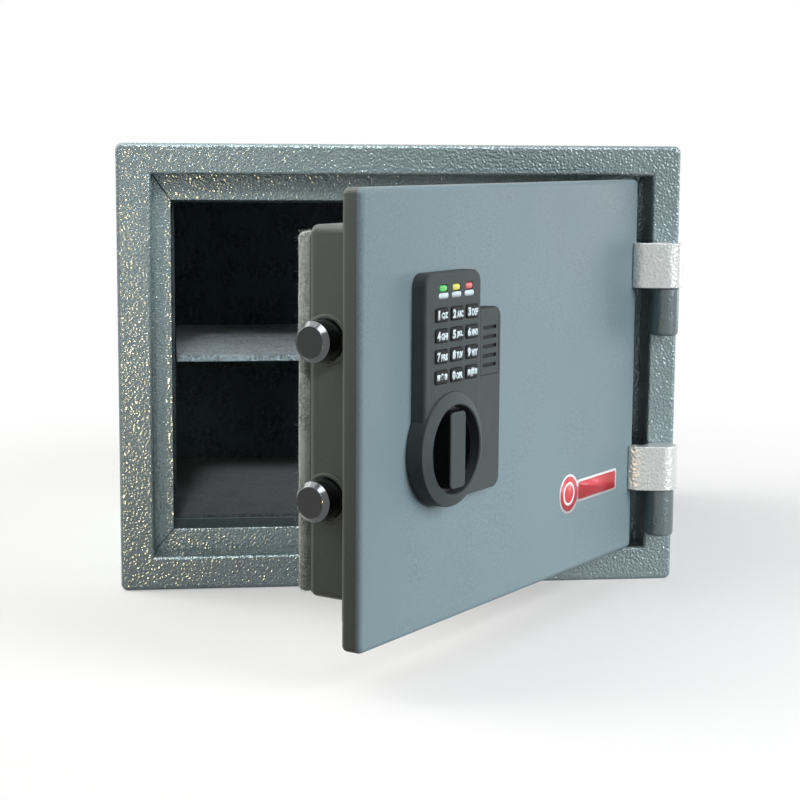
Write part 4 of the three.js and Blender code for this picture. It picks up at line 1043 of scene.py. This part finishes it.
class Stage(bpy.types.Operator):
    """Sets the floor, the white room, the lamps and the camera"""

    bl_idname = "safe.stage"
    bl_label = "Stage"

    def execute(self, context):
        stage = context.scene.safe_stage
        self.floor(stage)
        self.room(stage)
        for name, place, aim, size, tint, cone in LAMPS:
            watts = getattr(stage, f"{name}_power")
            lamp = self.lamp(f"{name}_lamp", Vector(place), Vector(aim), size, tint, cone, watts)
            lamp.visible_diffuse = name not in GLINTS
        self.camera(stage)
        context.scene.view_settings.view_transform = "Standard"
        return {"FINISHED"}

    @staticmethod
    def seen(tree):
        """1 for what the camera, a reflection or clear glass sees, and 0 for light that only bounces."""
        path = node(tree, "ShaderNodeLightPath")
        first = node(tree, "ShaderNodeMath", {
            0: path.outputs["Is Camera Ray"], 1: path.outputs["Is Glossy Ray"]}, operation="MAXIMUM")
        return node(tree, "ShaderNodeMath", {
            0: first.outputs[0], 1: path.outputs["Is Transmission Ray"]}, operation="MAXIMUM").outputs[0]

    def floor(self, stage):
        """A wide round floor that looks white."""
        shape = bmesh.new()
        bmesh.ops.create_circle(shape, cap_ends=True, segments=96, radius=stage.floor_radius)
        mesh = bpy.data.meshes.new("floor")
        shape.to_mesh(mesh)
        shape.free()
        floor = bpy.data.objects.new("floor", mesh)
        bpy.context.scene.collection.objects.link(floor)
        material, tree, shader = blank_material("floor")
        mesh.materials.append(material)
        shader.inputs["Roughness"].default_value = 0.9
        shader.inputs["Specular IOR Level"].default_value = 0.1
        # Further out the floor fades into the white room
        spot = node(tree, "ShaderNodeTexCoord").outputs["Object"]
        away = node(tree, "ShaderNodeVectorMath", {0: spot}, operation="LENGTH").outputs["Value"]
        fade = scaled(tree, away, stage.fade_start, stage.fade_end, stage.near_white, 1.0, "SMOOTHERSTEP")
        seen = self.seen(tree)
        # The floor looks white and throws back only part of the light
        tint = blended(tree, seen, tuple(stage.bounce * Vector(stage.floor)), tuple(stage.floor))
        tree.links.new(tint, shader.inputs["Base Color"])
        share = node(tree, "ShaderNodeMath", {0: fade, 1: seen}, operation="MULTIPLY").outputs[0]
        white = node(tree, "ShaderNodeEmission", {"Color": (1, 1, 1, 1), "Strength": 1.0})
        both = node(tree, "ShaderNodeMixShader", {0: share, 1: shader.outputs[0], 2: white.outputs[0]})
        tree.links.new(both.outputs[0], tree.nodes["Material Output"].inputs["Surface"])

    def room(self, stage):
        """A white room that itself gives only a dim, even light."""
        world = bpy.data.worlds.new("room")
        bpy.context.scene.world = world
        world.use_nodes = True
        tree = world.node_tree
        soft = tree.nodes["Background"]
        soft.inputs["Color"].default_value = (0.96, 0.98, 1, 1)
        soft.inputs["Strength"].default_value = stage.fill
        white = node(tree, "ShaderNodeBackground", {"Color": (1, 1, 1, 1), "Strength": 1.0})
        seen = self.seen(tree)
        both = node(tree, "ShaderNodeMixShader", {0: seen, 1: soft.outputs[0], 2: white.outputs[0]})
        tree.links.new(both.outputs[0], tree.nodes["World Output"].inputs["Surface"])

    @staticmethod
    def lamp(name, place, aim, size, tint, cone, watts):
        """A spotlight where there is a cone, and otherwise a square lamp."""
        if cone:
            light = bpy.data.lights.new(name, "SPOT")
            light.spot_size = math.radians(cone)
            light.spot_blend = 0.5
            light.shadow_soft_size = size
        else:
            light = bpy.data.lights.new(name, "AREA")
            light.shape = "SQUARE"
            light.size = size
        light.energy = watts
        light.color = tint
        lamp = bpy.data.objects.new(name, light)
        lamp.location = place
        lamp.rotation_euler = (aim - place).to_track_quat("-Z", "Y").to_euler()
        lamp.visible_camera = False
        bpy.context.scene.collection.objects.link(lamp)
        return lamp

    @staticmethod
    def camera(stage):
        """The camera, where the photo was taken from."""
        data = bpy.data.cameras.new("camera")
        data.lens = stage.lens
        data.sensor_width = 36
        data.clip_start = 0.01
        camera = bpy.data.objects.new("camera", data)
        camera.location = CAMERA_PLACE
        camera.rotation_euler = [math.radians(turn) for turn in CAMERA_TURN]
        bpy.context.scene.collection.objects.link(camera)
        bpy.context.scene.camera = camera


class SafePanel(bpy.types.Panel):
    """Lists the safe's operators in the 3D view's sidebar"""

    bl_idname = "VIEW3D_PT_safe"
    bl_label = "Office safe"
    bl_space_type = "VIEW_3D"
    bl_region_type = "UI"
    bl_category = "Safe"

    def draw(self, context):
        for operator in OPERATORS:
            self.layout.operator(operator.bl_idname)


SETTINGS = {
    "safe_paint": PaintSettings,
    "safe_felt": FeltSettings,
    "safe_lock": LockSettings,
    "safe_steel": SteelSettings,
    "safe_label": LabelSettings,
    "safe_stage": StageSettings,
}
OPERATORS = (
    CabinetSurfaces, HingeSurfaces, Lining, DoorPlate, DoorPad, Bolts, LockBody, Knob, Keys, Lamps,
    DoorLabel, InnerWorks, Stage,
)


def register():
    for settings in SETTINGS.values():
        bpy.utils.register_class(settings)
    for operator in OPERATORS:
        bpy.utils.register_class(operator)
    bpy.utils.register_class(SafePanel)
    for name, settings in SETTINGS.items():
        setattr(bpy.types.Scene, name, PointerProperty(type=settings))


def unregister():
    for name in SETTINGS:
        delattr(bpy.types.Scene, name)
    bpy.utils.unregister_class(SafePanel)
    for operator in reversed(OPERATORS):
        bpy.utils.unregister_class(operator)
    for settings in SETTINGS.values():
        bpy.utils.unregister_class(settings)


def main():
    """Makes every piece and the stage."""
    register()
    for operator in OPERATORS:
        family, action = operator.bl_idname.split(".")
        getattr(getattr(bpy.ops, family), action)()


if __name__ == "__main__":
    main()
